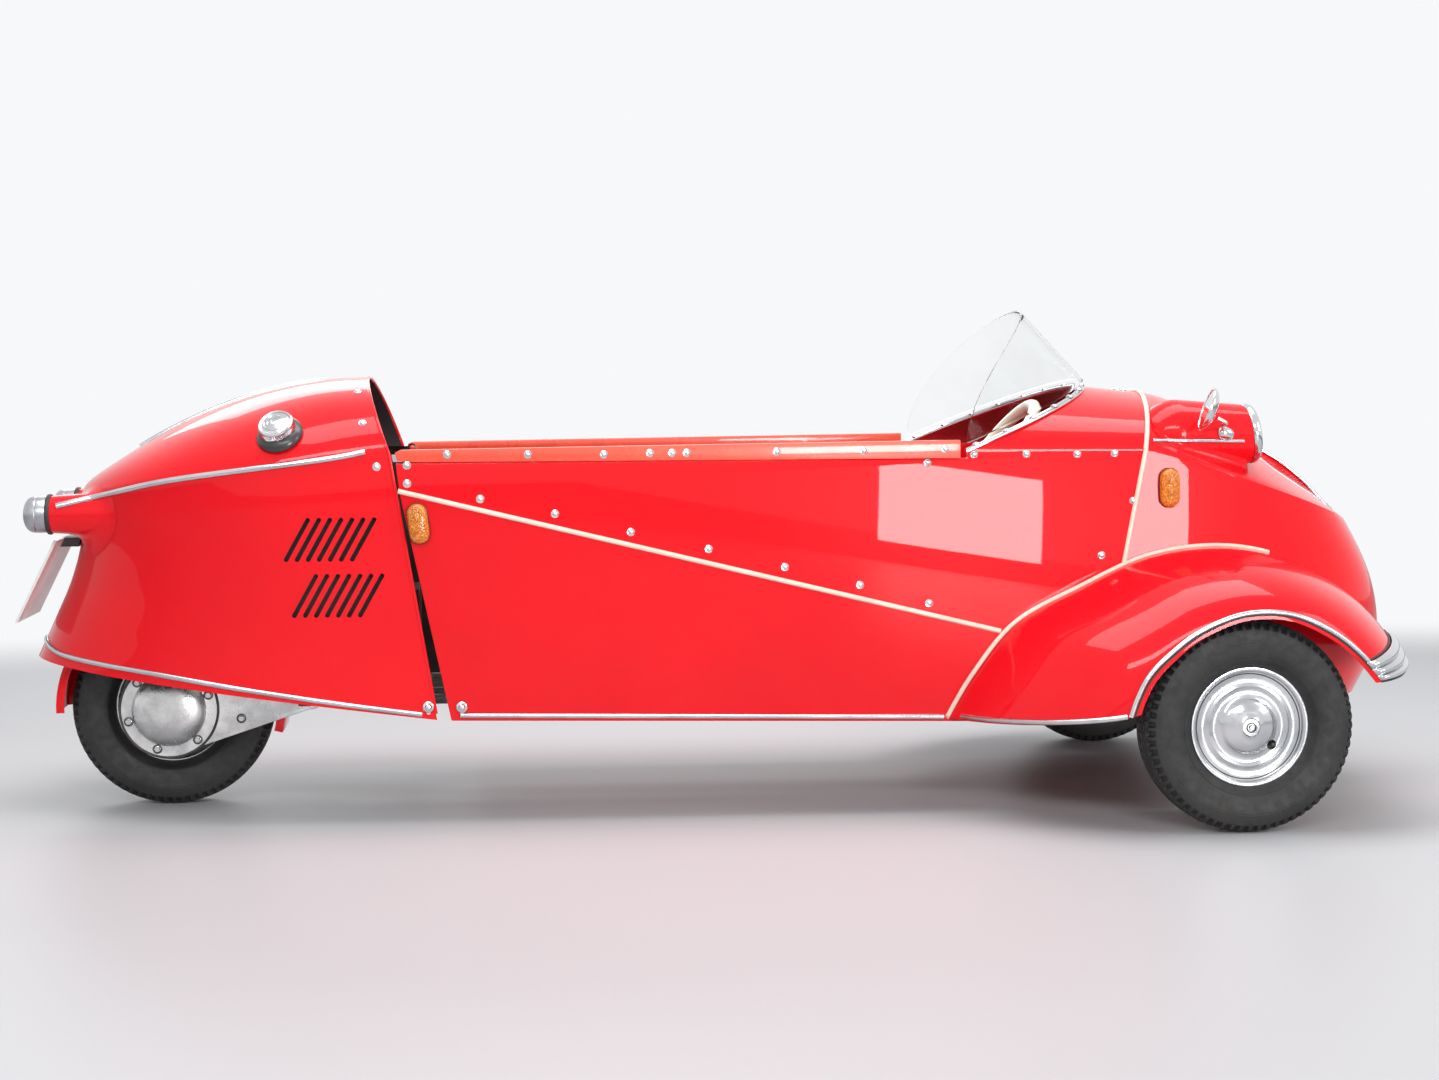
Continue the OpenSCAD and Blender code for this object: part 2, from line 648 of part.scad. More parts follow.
guard_r = tyre_r + guard_clear;
module rear_mudguard() color("red") from_rear_axle()
    translate([0, 0, tyre_r]) rotate([90, 0, 0]) rotate([0, 0, -14])
        rotate_extrude(angle = 196, $fn = fine)
            translate([guard_r, -guard_w / 2]) square([4, guard_w]);

// ---- wheels ----

// Half of the tyre's section: radius and distance from its middle
tyre_half = [
    [seat_r, 0], [seat_r, rim_half_w - 5], [rim_r + 3, rim_half_w - 3], [140, tyre_w * 0.46],
    [160, tyre_w / 2], [178, tyre_w * 0.47], [tyre_r - 8, tyre_w * 0.38],
    [tyre_r - 2, tyre_w * 0.27], [tyre_r, 0]
];
module tyre() rotate([90, 0, 0]) rotate_extrude($fn = fine)
    polygon([for (p = tyre_half) p, for (i = [len(tyre_half) - 2:-1:1])
        [tyre_half[i][0], -tyre_half[i][1]]]);

// Rim, dished disc and hub, outer face toward -Y
module wheel() rotate([90, 0, 0]) difference() {
    union() {
        rotate_extrude($fn = fine) polygon([
            [rim_r, rim_half_w], [rim_r, rim_half_w - 3], [seat_r - gap, rim_half_w - 5],
            [seat_r - gap, -rim_half_w + 5], [rim_r, -rim_half_w + 3], [rim_r, -rim_half_w],
            [seat_r - 4, -rim_half_w], [seat_r - 4, 10], [70, 16], [44, 30], [40, 38],
            [0, 38], [0, 42], [22, 42], [42, 42], [48, 34], [72, 22], [90, 24],
            [seat_r - 6, rim_half_w]
        ]);
        translate([0, 0, -30]) cylinder(r = 26, h = 70, $fn = fine);
    }
    translate([0, 0, -31]) cylinder(r = axle_r + axle_gap, h = 66, $fn = fine);
}

module rear_tyre() color("black") from_rear_axle() translate([0, 0, tyre_r]) tyre();
module rear_wheel() color("silver") from_rear_axle() translate([0, 0, tyre_r])
    mirror([0, 1, 0]) wheel();
module front_tyre_right() color("black") from_rear_axle() translate([fx, -track / 2, tyre_r]) tyre();
module front_tyre_left() color("black") from_rear_axle() translate([fx, track / 2, tyre_r]) tyre();
module front_wheel_right() color("silver") from_rear_axle()
    translate([fx, -track / 2, tyre_r]) wheel();
module front_wheel_left() color("silver") from_rear_axle()
    translate([fx, track / 2, tyre_r]) mirror([0, 1, 0]) wheel();

// ---- front axle and knuckles ----

pin_y = track / 2 - kingpin_in;
module front_axle() color("black") from_rear_axle() translate([fx, 0, tyre_r]) difference() {
    union() {
        rotate([90, 0, 0]) cylinder(r = beam_r, h = 2 * pin_y - 20, center = true, $fn = fine);
        both_sides() translate([0, -pin_y, -sleeve_h / 2])
            cylinder(r = kingpin_r + 8, h = sleeve_h, $fn = fine);
        for (s = [-1, 1]) translate([frame_front - fx + gap, s * frame_y - 12, floor_top + 3 - tyre_r])
            cube([fx - frame_front, 24, 24]);
        for (s = [-1, 1]) translate([-12, s * frame_y - 12, 0])
            cube([12, 24, floor_top + 27 - tyre_r]);
    }
    both_sides() translate([0, -pin_y, -sleeve_h / 2 - 1])
        cylinder(r = kingpin_r + gap, h = sleeve_h + 2, $fn = fine);
}

ear_t = 9;
module knuckle() translate([fx, -pin_y, tyre_r]) {
    h = sleeve_h / 2 + 1;
    translate([0, 0, -h - ear_t]) cylinder(r = kingpin_r, h = 2 * (h + ear_t), $fn = fine);
    for (z = [-h - ear_t, h]) {
        translate([0, 0, z]) cylinder(r = kingpin_r + 8, h = ear_t, $fn = fine);
        translate([-12, -34, z]) cube([24, 34, ear_t]);
    }
    translate([-12, -34, -h - ear_t]) cube([24, 10, 2 * (h + ear_t)]);
    translate([0, -30, 0]) rotate([90, 0, 0]) cylinder(r = axle_r, h = kingpin_in - 30 + 32, $fn = fine);
}
module knuckle_right() color("dimgray") from_rear_axle() knuckle();
module knuckle_left() color("dimgray") from_rear_axle() mirror([0, 1, 0]) knuckle();

floor_pan();
chassis_frame();
rear_bulkhead();
side_panel_right();
side_panel_left();
coaming_rail_right();
coaming_rail_left();
scuttle_cowl();
nose_shell();
fender_right();
fender_left();
bumperette_right();
bumperette_left();
headlamp_right();
headlamp_left();
windscreen();
windscreen_frame();
mirror_right();
mirror_left();
dashboard();
steering_column();
steering_bar();
front_seat_cushion();
front_seat_back();
rear_seat_cushion();
rear_seat_back();
seat_frame();
tail_shell();
tail_hinges();
filler_cap();
tail_lamps();
number_plate();
side_lamps();
latches();
engine_block();
chain_case();
rear_mudguard();
rear_tyre();
rear_wheel();
front_axle();
knuckle_right();
knuckle_left();
front_tyre_right();
front_tyre_left();
front_wheel_right();
front_wheel_left();
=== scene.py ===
from math import sin, cos, pi, radians, floor

import bpy
from mathutils import Matrix, Vector
from mathutils.bvhtree import BVHTree


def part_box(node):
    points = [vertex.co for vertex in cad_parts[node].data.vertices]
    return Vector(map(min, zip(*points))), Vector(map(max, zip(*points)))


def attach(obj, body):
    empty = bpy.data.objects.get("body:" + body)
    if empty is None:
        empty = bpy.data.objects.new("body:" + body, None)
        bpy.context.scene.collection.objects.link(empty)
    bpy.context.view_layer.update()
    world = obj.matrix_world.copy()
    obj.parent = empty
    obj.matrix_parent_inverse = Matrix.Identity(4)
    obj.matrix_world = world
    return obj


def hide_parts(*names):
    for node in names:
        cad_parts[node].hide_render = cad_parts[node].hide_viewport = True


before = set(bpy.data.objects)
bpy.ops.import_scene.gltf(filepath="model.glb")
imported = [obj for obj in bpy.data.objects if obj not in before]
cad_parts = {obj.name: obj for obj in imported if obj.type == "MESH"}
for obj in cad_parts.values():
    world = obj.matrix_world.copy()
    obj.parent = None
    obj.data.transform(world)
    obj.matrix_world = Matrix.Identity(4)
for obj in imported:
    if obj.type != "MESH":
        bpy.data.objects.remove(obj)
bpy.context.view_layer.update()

# Sizes in millimetres. Stations run forward from the rear axle, y to the car's left, z up.
car = {
    "wheelbase": 2027, "track": 1080, "frontEnd": 452, "rearEnd": 288, "halfWidth": 332,
    "wallTop": 702, "skin": 0.004, "tyreRadius": 198, "screenFoot": 478, "screenRun": 298,
    "cowlHeight": 125, "hoopHeight": 147, "hoopLean": 52,
}
frontAxle = car["wheelbase"]
middle = (car["wheelbase"] + car["frontEnd"] - car["rearEnd"]) / 2
waist = 0.5  # share of a form's height at which the upright flank ends and the arch begins
sides = ((-1, "Right"), (1, "Left"))
upward = Vector((0, 0, 1))


def place(p):  # station, y and z in millimetres to metres in the frame
    return Vector(((p[0] - middle) * 0.001, p[1] * 0.001, p[2] * 0.001))


def mix(a, b, t):
    return a + (b - a) * t


def through(rows, t):  # smooth curve through the rows, from the first at 0 to the last at 1
    s = t * (len(rows) - 1)
    i = max(min(int(floor(s)), len(rows) - 2), 0)
    k = s - i
    a, b, c, d = (rows[min(max(i + j, 0), len(rows) - 1)] for j in (-1, 0, 1, 2))
    return [q + 0.5 * k * (r - p + k * (2 * p - 5 * q + 4 * r - w + k * (3 * (q - r) + w - p)))
            for p, q, r, w in zip(a, b, c, d)]


def evenly(first, last, steps):
    return [mix(first, last, i / steps) for i in range(steps + 1)]


def acrossCar(v):  # the same place or direction on the car's other side
    return Vector((v.x, -v.y, v.z))


def up(x, power):
    return max(x, 0.0) ** power


# The body's forms take u along the car and v upwards, and give station, y and z
creaseEnds = ((460, 637), (frontAxle - 410, 355))


def creaseZ(x):
    (x0, z0), (x1, z1) = creaseEnds
    return z0 + (x - x0) * (z1 - z0) / (x1 - x0)


def sideY(x, z):
    above = z - creaseZ(x)
    return car["halfWidth"] - 0.03 * max(above, 0) - 0.05 * max(-above, 0)


def bulged(seam, spine, c, s, rise):
    return (mix(seam[0], spine[0], up(c, 0.71)), seam[1] * s, mix(seam[2], spine[1], up(c, rise)))


tailProfile = [(-262, 304), (-226, 381), (-193, 458), (-173, 536), (-172, 613),
               (-169, 628), (-162, 642), (-152, 652), (-140, 660)]
noseProfile = [(402, 196), (443.5, 280), (451, 352), (428, 445), (374, 545),
               (318, 612), (256, 665), (187, 706), (113, 746)]
hoopFoot = (447, 704)
beadTop = frontAxle - 128


def tailSeam(v):
    if v <= waist:
        x, z = mix(530, hoopFoot[0], v / waist), mix(200, hoopFoot[1], v / waist)
        return (x, -sideY(x, z), z)
    a = pi / 2 * (v - waist) / (1 - waist)
    return (hoopFoot[0] - car["hoopLean"] * sin(a), -sideY(*hoopFoot) * cos(a),
            hoopFoot[1] + car["hoopHeight"] * sin(a))


def tailForm(u, v):
    c = max(v - waist, 0) / (1 - waist)
    return bulged(tailSeam(v), through(tailProfile, v), cos(pi / 2 * u), sin(pi / 2 * u),
                  mix(0.71, 1.45, c))


def cowlFront(a):
    return (beadTop + 73 * up(1 - cos(a), 0.8), -sideY(beadTop, car["wallTop"]) * cos(a),
            car["wallTop"] + (car["cowlHeight"] - 13) * sin(a))


def noseSeam(v):
    if v <= waist:
        z = mix(196, car["wallTop"], v / waist)
        x = beadTop - 0.2 * (car["wallTop"] - z)
        return (x, -sideY(x, z), z)
    return cowlFront(pi / 2 * (v - waist) / (1 - waist))


def noseForm(u, v):
    c = max(v - waist, 0) / (1 - waist)
    ahead, z = through(noseProfile, v)
    return bulged(noseSeam(v), (frontAxle + ahead, z), sin(pi / 2 * u),
                  up(cos(pi / 2 * u), 1 + 6 * c - 2.5 * c * c), 0.8 + 0.3 * c - 1.8 * c * (1 - c))


def screenFoot(a):
    x = frontAxle - car["screenFoot"]
    return (x + car["screenRun"] * sin(a), -sideY(x, car["wallTop"]) * cos(a),
            car["wallTop"] + car["cowlHeight"] * sin(a))


def cowlForm(u, v):
    return tuple(mix(p, q, u) for p, q in zip(screenFoot(pi / 2 * v), cowlFront(pi / 2 * v)))


def screenForm(u, v):
    a = pi / 2 * v
    foot = screenFoot(a)
    top = (frontAxle - car["screenFoot"] + 167 * up(sin(a), 1.3), foot[1],
           car["wallTop"] + 30 + 250 * up(sin(a), 0.8))
    return tuple(mix(p, q, u) for p, q in zip((foot[0], foot[1], foot[2] + 17), top))


wingJoint = [(-518, 331, 188), (-467, 331, 275), (-387, 331, 372), (-260, 331, 439),
             (-127, 326, 497), (3, 318, 515), (125, 300, 499), (245, 262, 450),
             (345, 208, 372), (402, 150, 288)]
wingLip = [(-213, 600, 228), (-204, 603, 256), (-187, 605, 289), (-157, 606, 323),
           (-105, 607, 364), (-27, 608, 397), (58, 608, 398), (133, 607, 367),
           (188, 605, 326), (230, 602, 280)]


def wingForm(u, v):
    a = pi / 2 * (1 - v)
    p, q = through(wingJoint, u), through(wingLip, u)
    return (frontAxle + mix(p[0], q[0], up((1 - cos(a) + sin(a)) / 2, 1 + u / 2)),
            -mix(p[1] - 14, q[1], sin(a)), mix(q[2], p[2], cos(a)))


def outward(form, u, v):  # direction away from the surface, which runs forward and upward
    e = 0.004
    across = place(form(min(u + e, 1), v)) - place(form(max(u - e, 0), v))
    rise = place(form(u, min(v + e, 1))) - place(form(u, max(v - e, 0)))
    return across.cross(rise).normalized()


def startAlone(piece=None):
    if bpy.context.object and bpy.context.object.mode != "OBJECT":
        bpy.ops.object.mode_set(mode="OBJECT")
    bpy.ops.object.select_all(action="DESELECT")
    if piece:
        piece.select_set(True)
        bpy.context.view_layer.objects.active = piece


def named(piece, name):
    piece.name = piece.data.name = name
    return piece


def placed(point, direction):  # stands a piece that was made on z at a point, along a direction
    turn = upward.rotation_difference(Vector(direction)).to_matrix().to_4x4()
    return Matrix.Translation(Vector(point)) @ turn


def boxAt(matrix):
    startAlone()
    bpy.ops.mesh.primitive_cube_add(size=1, location=(0, 0, 0))
    box = bpy.context.object
    box.data.transform(matrix)
    return box


def layGrid(name, form, stepsU, stepsV):  # grid whose points follow the form, in metres
    startAlone()
    bpy.ops.mesh.primitive_grid_add(x_subdivisions=stepsU, y_subdivisions=stepsV, size=1,
                                    location=(0, 0, 0))
    sheet = named(bpy.context.object, name)
    for vertex in sheet.data.vertices:
        vertex.co = form(min(max(vertex.co.x + 0.5, 0), 1), min(max(vertex.co.y + 0.5, 0), 1))
    return sheet


def worked(piece, kind, **settings):  # adds a modifier and applies it
    modifier = piece.modifiers.new(kind.title(), kind)
    for key, value in settings.items():
        setattr(modifier, key, value)
    startAlone(piece)
    bpy.ops.object.modifier_apply(modifier=modifier.name)
    return piece


def walled(piece, wall=car["skin"], lining=0):  # the lining is the inner wall's material
    return worked(piece, "SOLIDIFY", thickness=wall, offset=-1, material_offset=lining)


def edited(piece, *steps):  # each step is a mesh operator and its settings, for the whole piece
    startAlone(piece)
    bpy.ops.object.mode_set(mode="EDIT")
    for operator, settings in steps:
        bpy.ops.mesh.select_all(action="SELECT")
        operator(**settings)
    bpy.ops.object.mode_set(mode="OBJECT")
    return piece


outwardNormals = (bpy.ops.mesh.normals_make_consistent, {"inside": False})


def merged(piece, gap=0.00002, outside=True, holes=False):
    steps = [(bpy.ops.mesh.remove_doubles, {"threshold": gap})]
    if holes:
        steps.append((bpy.ops.mesh.fill_holes, {"sides": 0}))
    if outside:
        steps.append(outwardNormals)
    return edited(piece, *steps)


def faceAway(piece, centre):  # an open sheet's faces look away from the centre
    total = sum((f.center - centre).dot(f.normal) * f.area for f in piece.data.polygons)
    return edited(piece, (bpy.ops.mesh.flip_normals, {})) if total < 0 else piece


def mirrored(piece):  # other side of a piece whose edge lies in the middle plane
    return worked(piece, "MIRROR", use_axis=(False, True, False), merge_threshold=0.0003)


def copyOf(piece):  # with a mesh of its own
    copy = piece.copy()
    copy.data = piece.data.copy()
    bpy.context.collection.objects.link(copy)
    return copy


def otherSide(piece, name):
    startAlone()
    twin = named(copyOf(piece), name)
    twin.data.transform(Matrix.Scale(-1, 4, (0, 1, 0)))
    twin.data.flip_normals()
    return twin


def joined(name, pieces):
    startAlone()
    for piece in pieces:
        piece.select_set(True)
    bpy.context.view_layer.objects.active = pieces[0]
    if len(pieces) > 1:
        bpy.ops.object.join()
    return named(bpy.context.object, name)


def cutBy(piece, tool, kind="DIFFERENCE"):
    worked(piece, "BOOLEAN", operation=kind, object=tool, solver="EXACT")
    bpy.data.objects.remove(tool, do_unlink=True)
    return piece


def turned(name, profile, steps=24, centre=(0, 0, 0), axis=upward):  # radii and heights in mm
    startAlone()
    bpy.ops.mesh.primitive_plane_add(size=0.001, location=(0, 0, 0))
    piece = named(bpy.context.object, name)
    bpy.ops.object.mode_set(mode="EDIT")
    bpy.ops.mesh.select_all(action="SELECT")
    bpy.ops.mesh.merge(type="CENTER")
    rows = [(r * 0.001, h * 0.001) for r, h in profile]
    bpy.ops.transform.translate(value=(rows[0][0], 0, rows[0][1]))
    for a, b in zip(rows, rows[1:]):
        bpy.ops.mesh.extrude_vertices_move(
            TRANSFORM_OT_translate={"value": (b[0] - a[0], 0, b[1] - a[1])})
    bpy.ops.mesh.select_all(action="SELECT")
    bpy.ops.mesh.spin(steps=steps, angle=2 * pi, center=(0, 0, 0), axis=(0, 0, 1))
    bpy.ops.object.mode_set(mode="OBJECT")
    merged(piece, 0.00001)
    piece.data.transform(placed(centre, axis))
    return piece


def rod(name, radius, low, high, steps, centre, axis):  # plain cylinder between two heights
    return turned(name, [(0, low), (radius, low), (radius, high), (0, high)], steps, centre, axis)


def swept(name, points, ups, section):  # closed section of (across, out) in mm along a path
    last = len(points) - 1
    tangents = [(points[min(i + 1, last)] - points[max(i - 1, 0)]).normalized()
                for i in range(last + 1)]
    count = len(section)

    def ring(u, v):
        i = min(int(round(u * last)), last)
        across, out = section[int(round(v * count)) % count]
        side = tangents[i].cross(ups[i]).normalized()
        return points[i] + side * (across * 0.001) + ups[i] * (out * 0.001)

    return merged(layGrid(name, ring, last, count), holes=True)


def roundSection(radius, lift=0, count=12):
    return [(radius * cos(2 * pi * i / count), lift + radius * sin(2 * pi * i / count))
            for i in range(count)]


def stripSection(width, height, sink=1.0):  # half round moulding with a flat back
    w = width / 2
    return [(-w, -sink), (-w, height * 0.3), (-w * 0.8, height * 0.72), (-w * 0.42, height * 0.95),
            (0, height), (w * 0.42, height * 0.95), (w * 0.8, height * 0.72), (w, height * 0.3),
            (w, -sink)]


def copiesAt(name, master, spots):  # spots are (point, direction); the master lies on z
    copies = []
    for point, direction in spots:
        copies.append(copyOf(master))
        copies[-1].data.transform(placed(point, direction))
    bpy.data.objects.remove(master, do_unlink=True)
    return joined(name, copies)


def copyOfNode(node, name):
    copy = bpy.data.objects.new(name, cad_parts[node].data.copy())
    copy.data.materials.clear()
    bpy.context.collection.objects.link(copy)
    return named(copy, name)


def softened(name, node, width, segments=2, angle=30):  # a CAD node with its edges eased
    piece = merged(copyOfNode(node, name), 0.00001, outside=False)
    edited(piece, (bpy.ops.mesh.dissolve_limited, {"angle_limit": radians(1)}))
    return worked(piece, "BEVEL", width=width * 0.001, segments=segments, limit_method="ANGLE",
                  angle_limit=radians(angle), harden_normals=False)


def painted(piece, *finishes):
    for finish in finishes:
        piece.data.materials.append(finish)
    return piece


def finishPiece(piece, finish, body="root", stands=(), angle=35):
    piece.data.validate()
    startAlone(piece)
    bpy.ops.object.shade_smooth_by_angle(angle=radians(angle))
    if finish:
        piece.data.materials.clear()
        painted(piece, finish)
    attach(piece, body)
    if stands:
        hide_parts(*stands)
    return piece


def surfaceOf(piece):
    return BVHTree.FromPolygons([v.co.copy() for v in piece.data.vertices],
                                [list(f.vertices) for f in piece.data.polygons])


def onSide(tree, x, z):  # point and direction where a level line from the right meets it
    hit, normal = tree.ray_cast(place((x, -900, z)), Vector((0, 1, 0)))[:2]
    if hit is None:
        raise ValueError(f"nothing at {x}, {z}")
    return hit, (normal if normal.y < 0 else -normal)


def pathOnSide(tree, rows, count):
    return [onSide(tree, *through(rows, i / count)) for i in range(count + 1)]


def sharedGroup(name, inputs, outputs):
    group = bpy.data.node_groups.new(name, "ShaderNodeTree")
    for label, kind, value in inputs:
        socket = group.interface.new_socket(name=label, in_out="INPUT", socket_type=kind)
        socket.default_value = value
    for label, kind in outputs:
        group.interface.new_socket(name=label, in_out="OUTPUT", socket_type=kind)
    return group, group.nodes.new("NodeGroupInput"), group.nodes.new("NodeGroupOutput")


def feed(tree, socket, value):  # an output is linked, anything else is set
    if isinstance(value, bpy.types.NodeSocket):
        tree.links.new(value, socket)
    else:
        socket.default_value = value


def mathNode(tree, operation, first, second, clamp=False):
    node = tree.nodes.new("ShaderNodeMath")
    node.operation = operation
    node.use_clamp = clamp
    feed(tree, node.inputs[0], first)
    feed(tree, node.inputs[1], second)
    return node.outputs[0]


def ranged(tree, value, low, high, toLow, toHigh):
    node = tree.nodes.new("ShaderNodeMapRange")
    node.interpolation_type = "SMOOTHSTEP"
    for socket, item in zip(node.inputs[:5], (value, low, high, toLow, toHigh)):
        feed(tree, socket, item)
    return node.outputs[0]


def noiseNode(tree, coordinates, scale, detail=3.0, roughness=0.55):
    node = tree.nodes.new("ShaderNodeTexNoise")
    for label, value in (("Vector", coordinates), ("Scale", scale), ("Detail", detail),
                         ("Roughness", roughness)):
        feed(tree, node.inputs[label], value)
    return node.outputs["Fac"]


def ownSpots(tree):  # places on the piece itself
    return tree.nodes.new("ShaderNodeTexCoord").outputs["Object"]


# Slow change between two values over the surface
drift, driftIn, driftOut = sharedGroup(
    "drift", [("Scale", "NodeSocketFloat", 6.0), ("Low", "NodeSocketFloat", 0.0),
              ("High", "NodeSocketFloat", 1.0)], [("Value", "NodeSocketFloat")])
cloud = noiseNode(drift, ownSpots(drift), driftIn.outputs["Scale"])
feed(drift, driftOut.inputs[0], ranged(drift, cloud, 0.34, 0.66, driftIn.outputs["Low"],
                                       driftIn.outputs["High"]))

# Road dust that lies low on the car, in patches
roadDust, dustIn, dustOut = sharedGroup(
    "roadDust", [("Top", "NodeSocketFloat", 0.35), ("Depth", "NodeSocketFloat", 0.25),
                 ("Amount", "NodeSocketFloat", 0.3)], [("Mask", "NodeSocketFloat")])
spots = ownSpots(roadDust)
apart = roadDust.nodes.new("ShaderNodeSeparateXYZ")
feed(roadDust, apart.inputs[0], spots)
below = mathNode(roadDust, "SUBTRACT", dustIn.outputs["Top"], apart.outputs["Z"])
fade = mathNode(roadDust, "DIVIDE", below, dustIn.outputs["Depth"], clamp=True)
patches = ranged(roadDust, noiseNode(roadDust, spots, 14.0, 6.0, 0.7), 0.35, 0.7, 0.15, 1.0)
amount = mathNode(roadDust, "MULTIPLY", fade, dustIn.outputs["Amount"])
feed(roadDust, dustOut.inputs[0], mathNode(roadDust, "MULTIPLY", amount, patches, clamp=True))

# Fine relief: soft waves and a closer grain together
relief, reliefIn, reliefOut = sharedGroup(
    "relief", [("Waves", "NodeSocketFloat", 3.0), ("Grain", "NodeSocketFloat", 300.0),
               ("Share", "NodeSocketFloat", 0.5)], [("Height", "NodeSocketFloat")])
spots = ownSpots(relief)
waves = noiseNode(relief, spots, reliefIn.outputs["Waves"], 1.0)
grain = noiseNode(relief, spots, reliefIn.outputs["Grain"], 4.0)
blendShare = mathNode(relief, "MULTIPLY", grain, reliefIn.outputs["Share"])
feed(relief, reliefOut.inputs[0], mathNode(relief, "ADD", waves, blendShare))

# Thin scratches and rubbed spots
scuffs, scuffIn, scuffOut = sharedGroup(
    "scuffs", [("Scale", "NodeSocketFloat", 40.0), ("Amount", "NodeSocketFloat", 0.3)],
    [("Mask", "NodeSocketFloat")])
rubs = noiseNode(scuffs, ownSpots(scuffs), scuffIn.outputs["Scale"], 8.0, 0.75)
feed(scuffs, scuffOut.inputs[0], mathNode(scuffs, "MULTIPLY", ranged(scuffs, rubs, 0.6, 0.72, 0, 1),
                                          scuffIn.outputs["Amount"], clamp=True))


def placedGroup(tree, group, **values):
    node = tree.nodes.new("ShaderNodeGroup")
    node.node_tree = group
    for label, value in values.items():
        feed(tree, node.inputs[label], value)
    return node.outputs[0]


def blendColours(tree, share, first, second):
    node = tree.nodes.new("ShaderNodeMix")
    node.data_type = "RGBA"
    feed(tree, node.inputs["Factor"], share)
    for socket, value in ((node.inputs[6], first), (node.inputs[7], second)):
        feed(tree, socket, (*value, 1) if isinstance(value, tuple) else value)
    return node.outputs[2]


dustColour = (0.27, 0.22, 0.17)


# rough is a range, wear is (scale, amount, colour) and dust is (amount, top, depth)
def newFinish(name, colour, second, rough, driftScale=5.0, metal=0.0, coat=0.0, coatRough=0.03,
              waves=3.0, grain=300.0, share=0.4, bump=0.05, bumpDepth=0.001,
              dust=None, wear=None, **sockets):
    material = bpy.data.materials.new(name)
    material.use_nodes = True
    tree = material.node_tree
    shader = tree.nodes["Principled BSDF"]
    change = placedGroup(tree, drift, Scale=driftScale, Low=0.0, High=1.0)
    tint = blendColours(tree, change, colour, second)
    shine = placedGroup(tree, drift, Scale=driftScale * 3.1, Low=rough[0], High=rough[1])
    if wear:
        rubbed = placedGroup(tree, scuffs, Scale=wear[0], Amount=wear[1])
        tint = blendColours(tree, rubbed, tint, wear[2])
        shine = mathNode(tree, "ADD", shine, mathNode(tree, "MULTIPLY", rubbed, 0.2))
    if dust:
        lying = placedGroup(tree, roadDust, Amount=dust[0], Top=dust[1], Depth=dust[2])
        tint = blendColours(tree, lying, tint, dustColour)
        shine = mathNode(tree, "ADD", shine, mathNode(tree, "MULTIPLY", lying, 0.5), clamp=True)
    lift = tree.nodes.new("ShaderNodeBump")
    height = placedGroup(tree, relief, Waves=waves, Grain=grain, Share=share)
    for label, value in (("Strength", bump), ("Distance", bumpDepth), ("Height", height)):
        feed(tree, lift.inputs[label], value)
    sockets |= {"Base Color": tint, "Roughness": shine, "Metallic": metal, "Coat Weight": coat,
                "Coat Roughness": coatRough, "Normal": lift.outputs[0]}
    for label, value in sockets.items():
        feed(tree, shader.inputs[label], value)
    return material


redPaint = newFinish("redPaint", (0.88, 0.006, 0.012), (0.80, 0.005, 0.013), (0.3, 0.36),
                     driftScale=1.6, coat=0.75, coatRough=0.02, waves=2.2, grain=420.0, share=0.02,
                     bump=0.3, bumpDepth=0.004, dust=(0.03, 0.40, 0.3),
                     wear=(70.0, 0.03, (0.9, 0.2, 0.2)),
                     **{"Specular IOR Level": 0.05, "Coat IOR": 1.36})
# orange-red: a lighter copy of the body red, painted highlight of the light on top faces
litRailPaint = newFinish("litRailPaint", (0.95, 0.10, 0.045), (0.90, 0.08, 0.035), (0.25, 0.34),
                      coat=0.6, coatRough=0.04, bump=0.12, wear=(60.0, 0.06, (0.9, 0.4, 0.3)))
# darker copy of the body red for inner walls, the cowl's underside and the floor pan: painted shade
shadedInnerPaint = newFinish("shadedInnerPaint", (0.42, 0.008, 0.012), (0.30, 0.006, 0.01), (0.35, 0.5),
                       coat=0.5, bump=0.15, dust=(0.4, 0.5, 0.4))
creamBead = newFinish("creamBead", (0.86, 0.74, 0.60), (0.78, 0.64, 0.52), (0.32, 0.45),
                      driftScale=14.0, coat=0.4, coatRough=0.2, bump=0.2,
                      wear=(90.0, 0.35, (0.55, 0.33, 0.26)), dust=(0.3, 0.5, 0.4))
chrome = newFinish("chrome", (0.74, 0.74, 0.75), (0.62, 0.63, 0.65), (0.04, 0.1), metal=1.0,
                   bump=0.04, wear=(110.0, 0.25, (0.4, 0.37, 0.34)))
polished = newFinish("polishedAluminium", (0.68, 0.685, 0.70), (0.50, 0.515, 0.54), (0.1, 0.22),
                     driftScale=9.0, metal=1.0, bump=0.1, grain=600.0,
                     wear=(60.0, 0.35, (0.42, 0.41, 0.4)), dust=(0.12, 0.4, 0.3))
castMetal = newFinish("castAluminium", (0.78, 0.78, 0.775), (0.50, 0.50, 0.505), (0.22, 0.38),
                      driftScale=16.0, metal=0.95, waves=30.0, grain=260.0, share=0.8, bump=0.3,
                      bumpDepth=0.0015, wear=(38.0, 0.75, (0.11, 0.11, 0.11)),
                      dust=(0.2, 0.3, 0.2))
lampMetal = newFinish("lampMetal", (0.46, 0.46, 0.49), (0.36, 0.36, 0.40), (0.26, 0.36),
                      metal=0.9, bump=0.08, wear=(80.0, 0.2, (0.2, 0.2, 0.21)))
blackPaint = newFinish("blackPaint", (0.022, 0.022, 0.024), (0.04, 0.038, 0.036), (0.28, 0.45),
                       coat=0.3, bump=0.2, dust=(0.5, 0.5, 0.4))
# near-black inner walls: painted shade inside the tail cover, the wings and the lamp pods, and on
# the bulkhead
paintedShadeLining = newFinish("paintedShadeLining", (0.03, 0.024, 0.024), (0.045, 0.034, 0.032), (0.75, 0.9),
                       grain=180.0, share=0.9, bump=0.5, bumpDepth=0.002, dust=(0.2, 0.6, 0.5))
rubber = newFinish("rubber", (0.02, 0.02, 0.022), (0.035, 0.034, 0.034), (0.5, 0.65),
                   grain=260.0, share=0.8, bump=0.25, dust=(0.3, 0.45, 0.4))
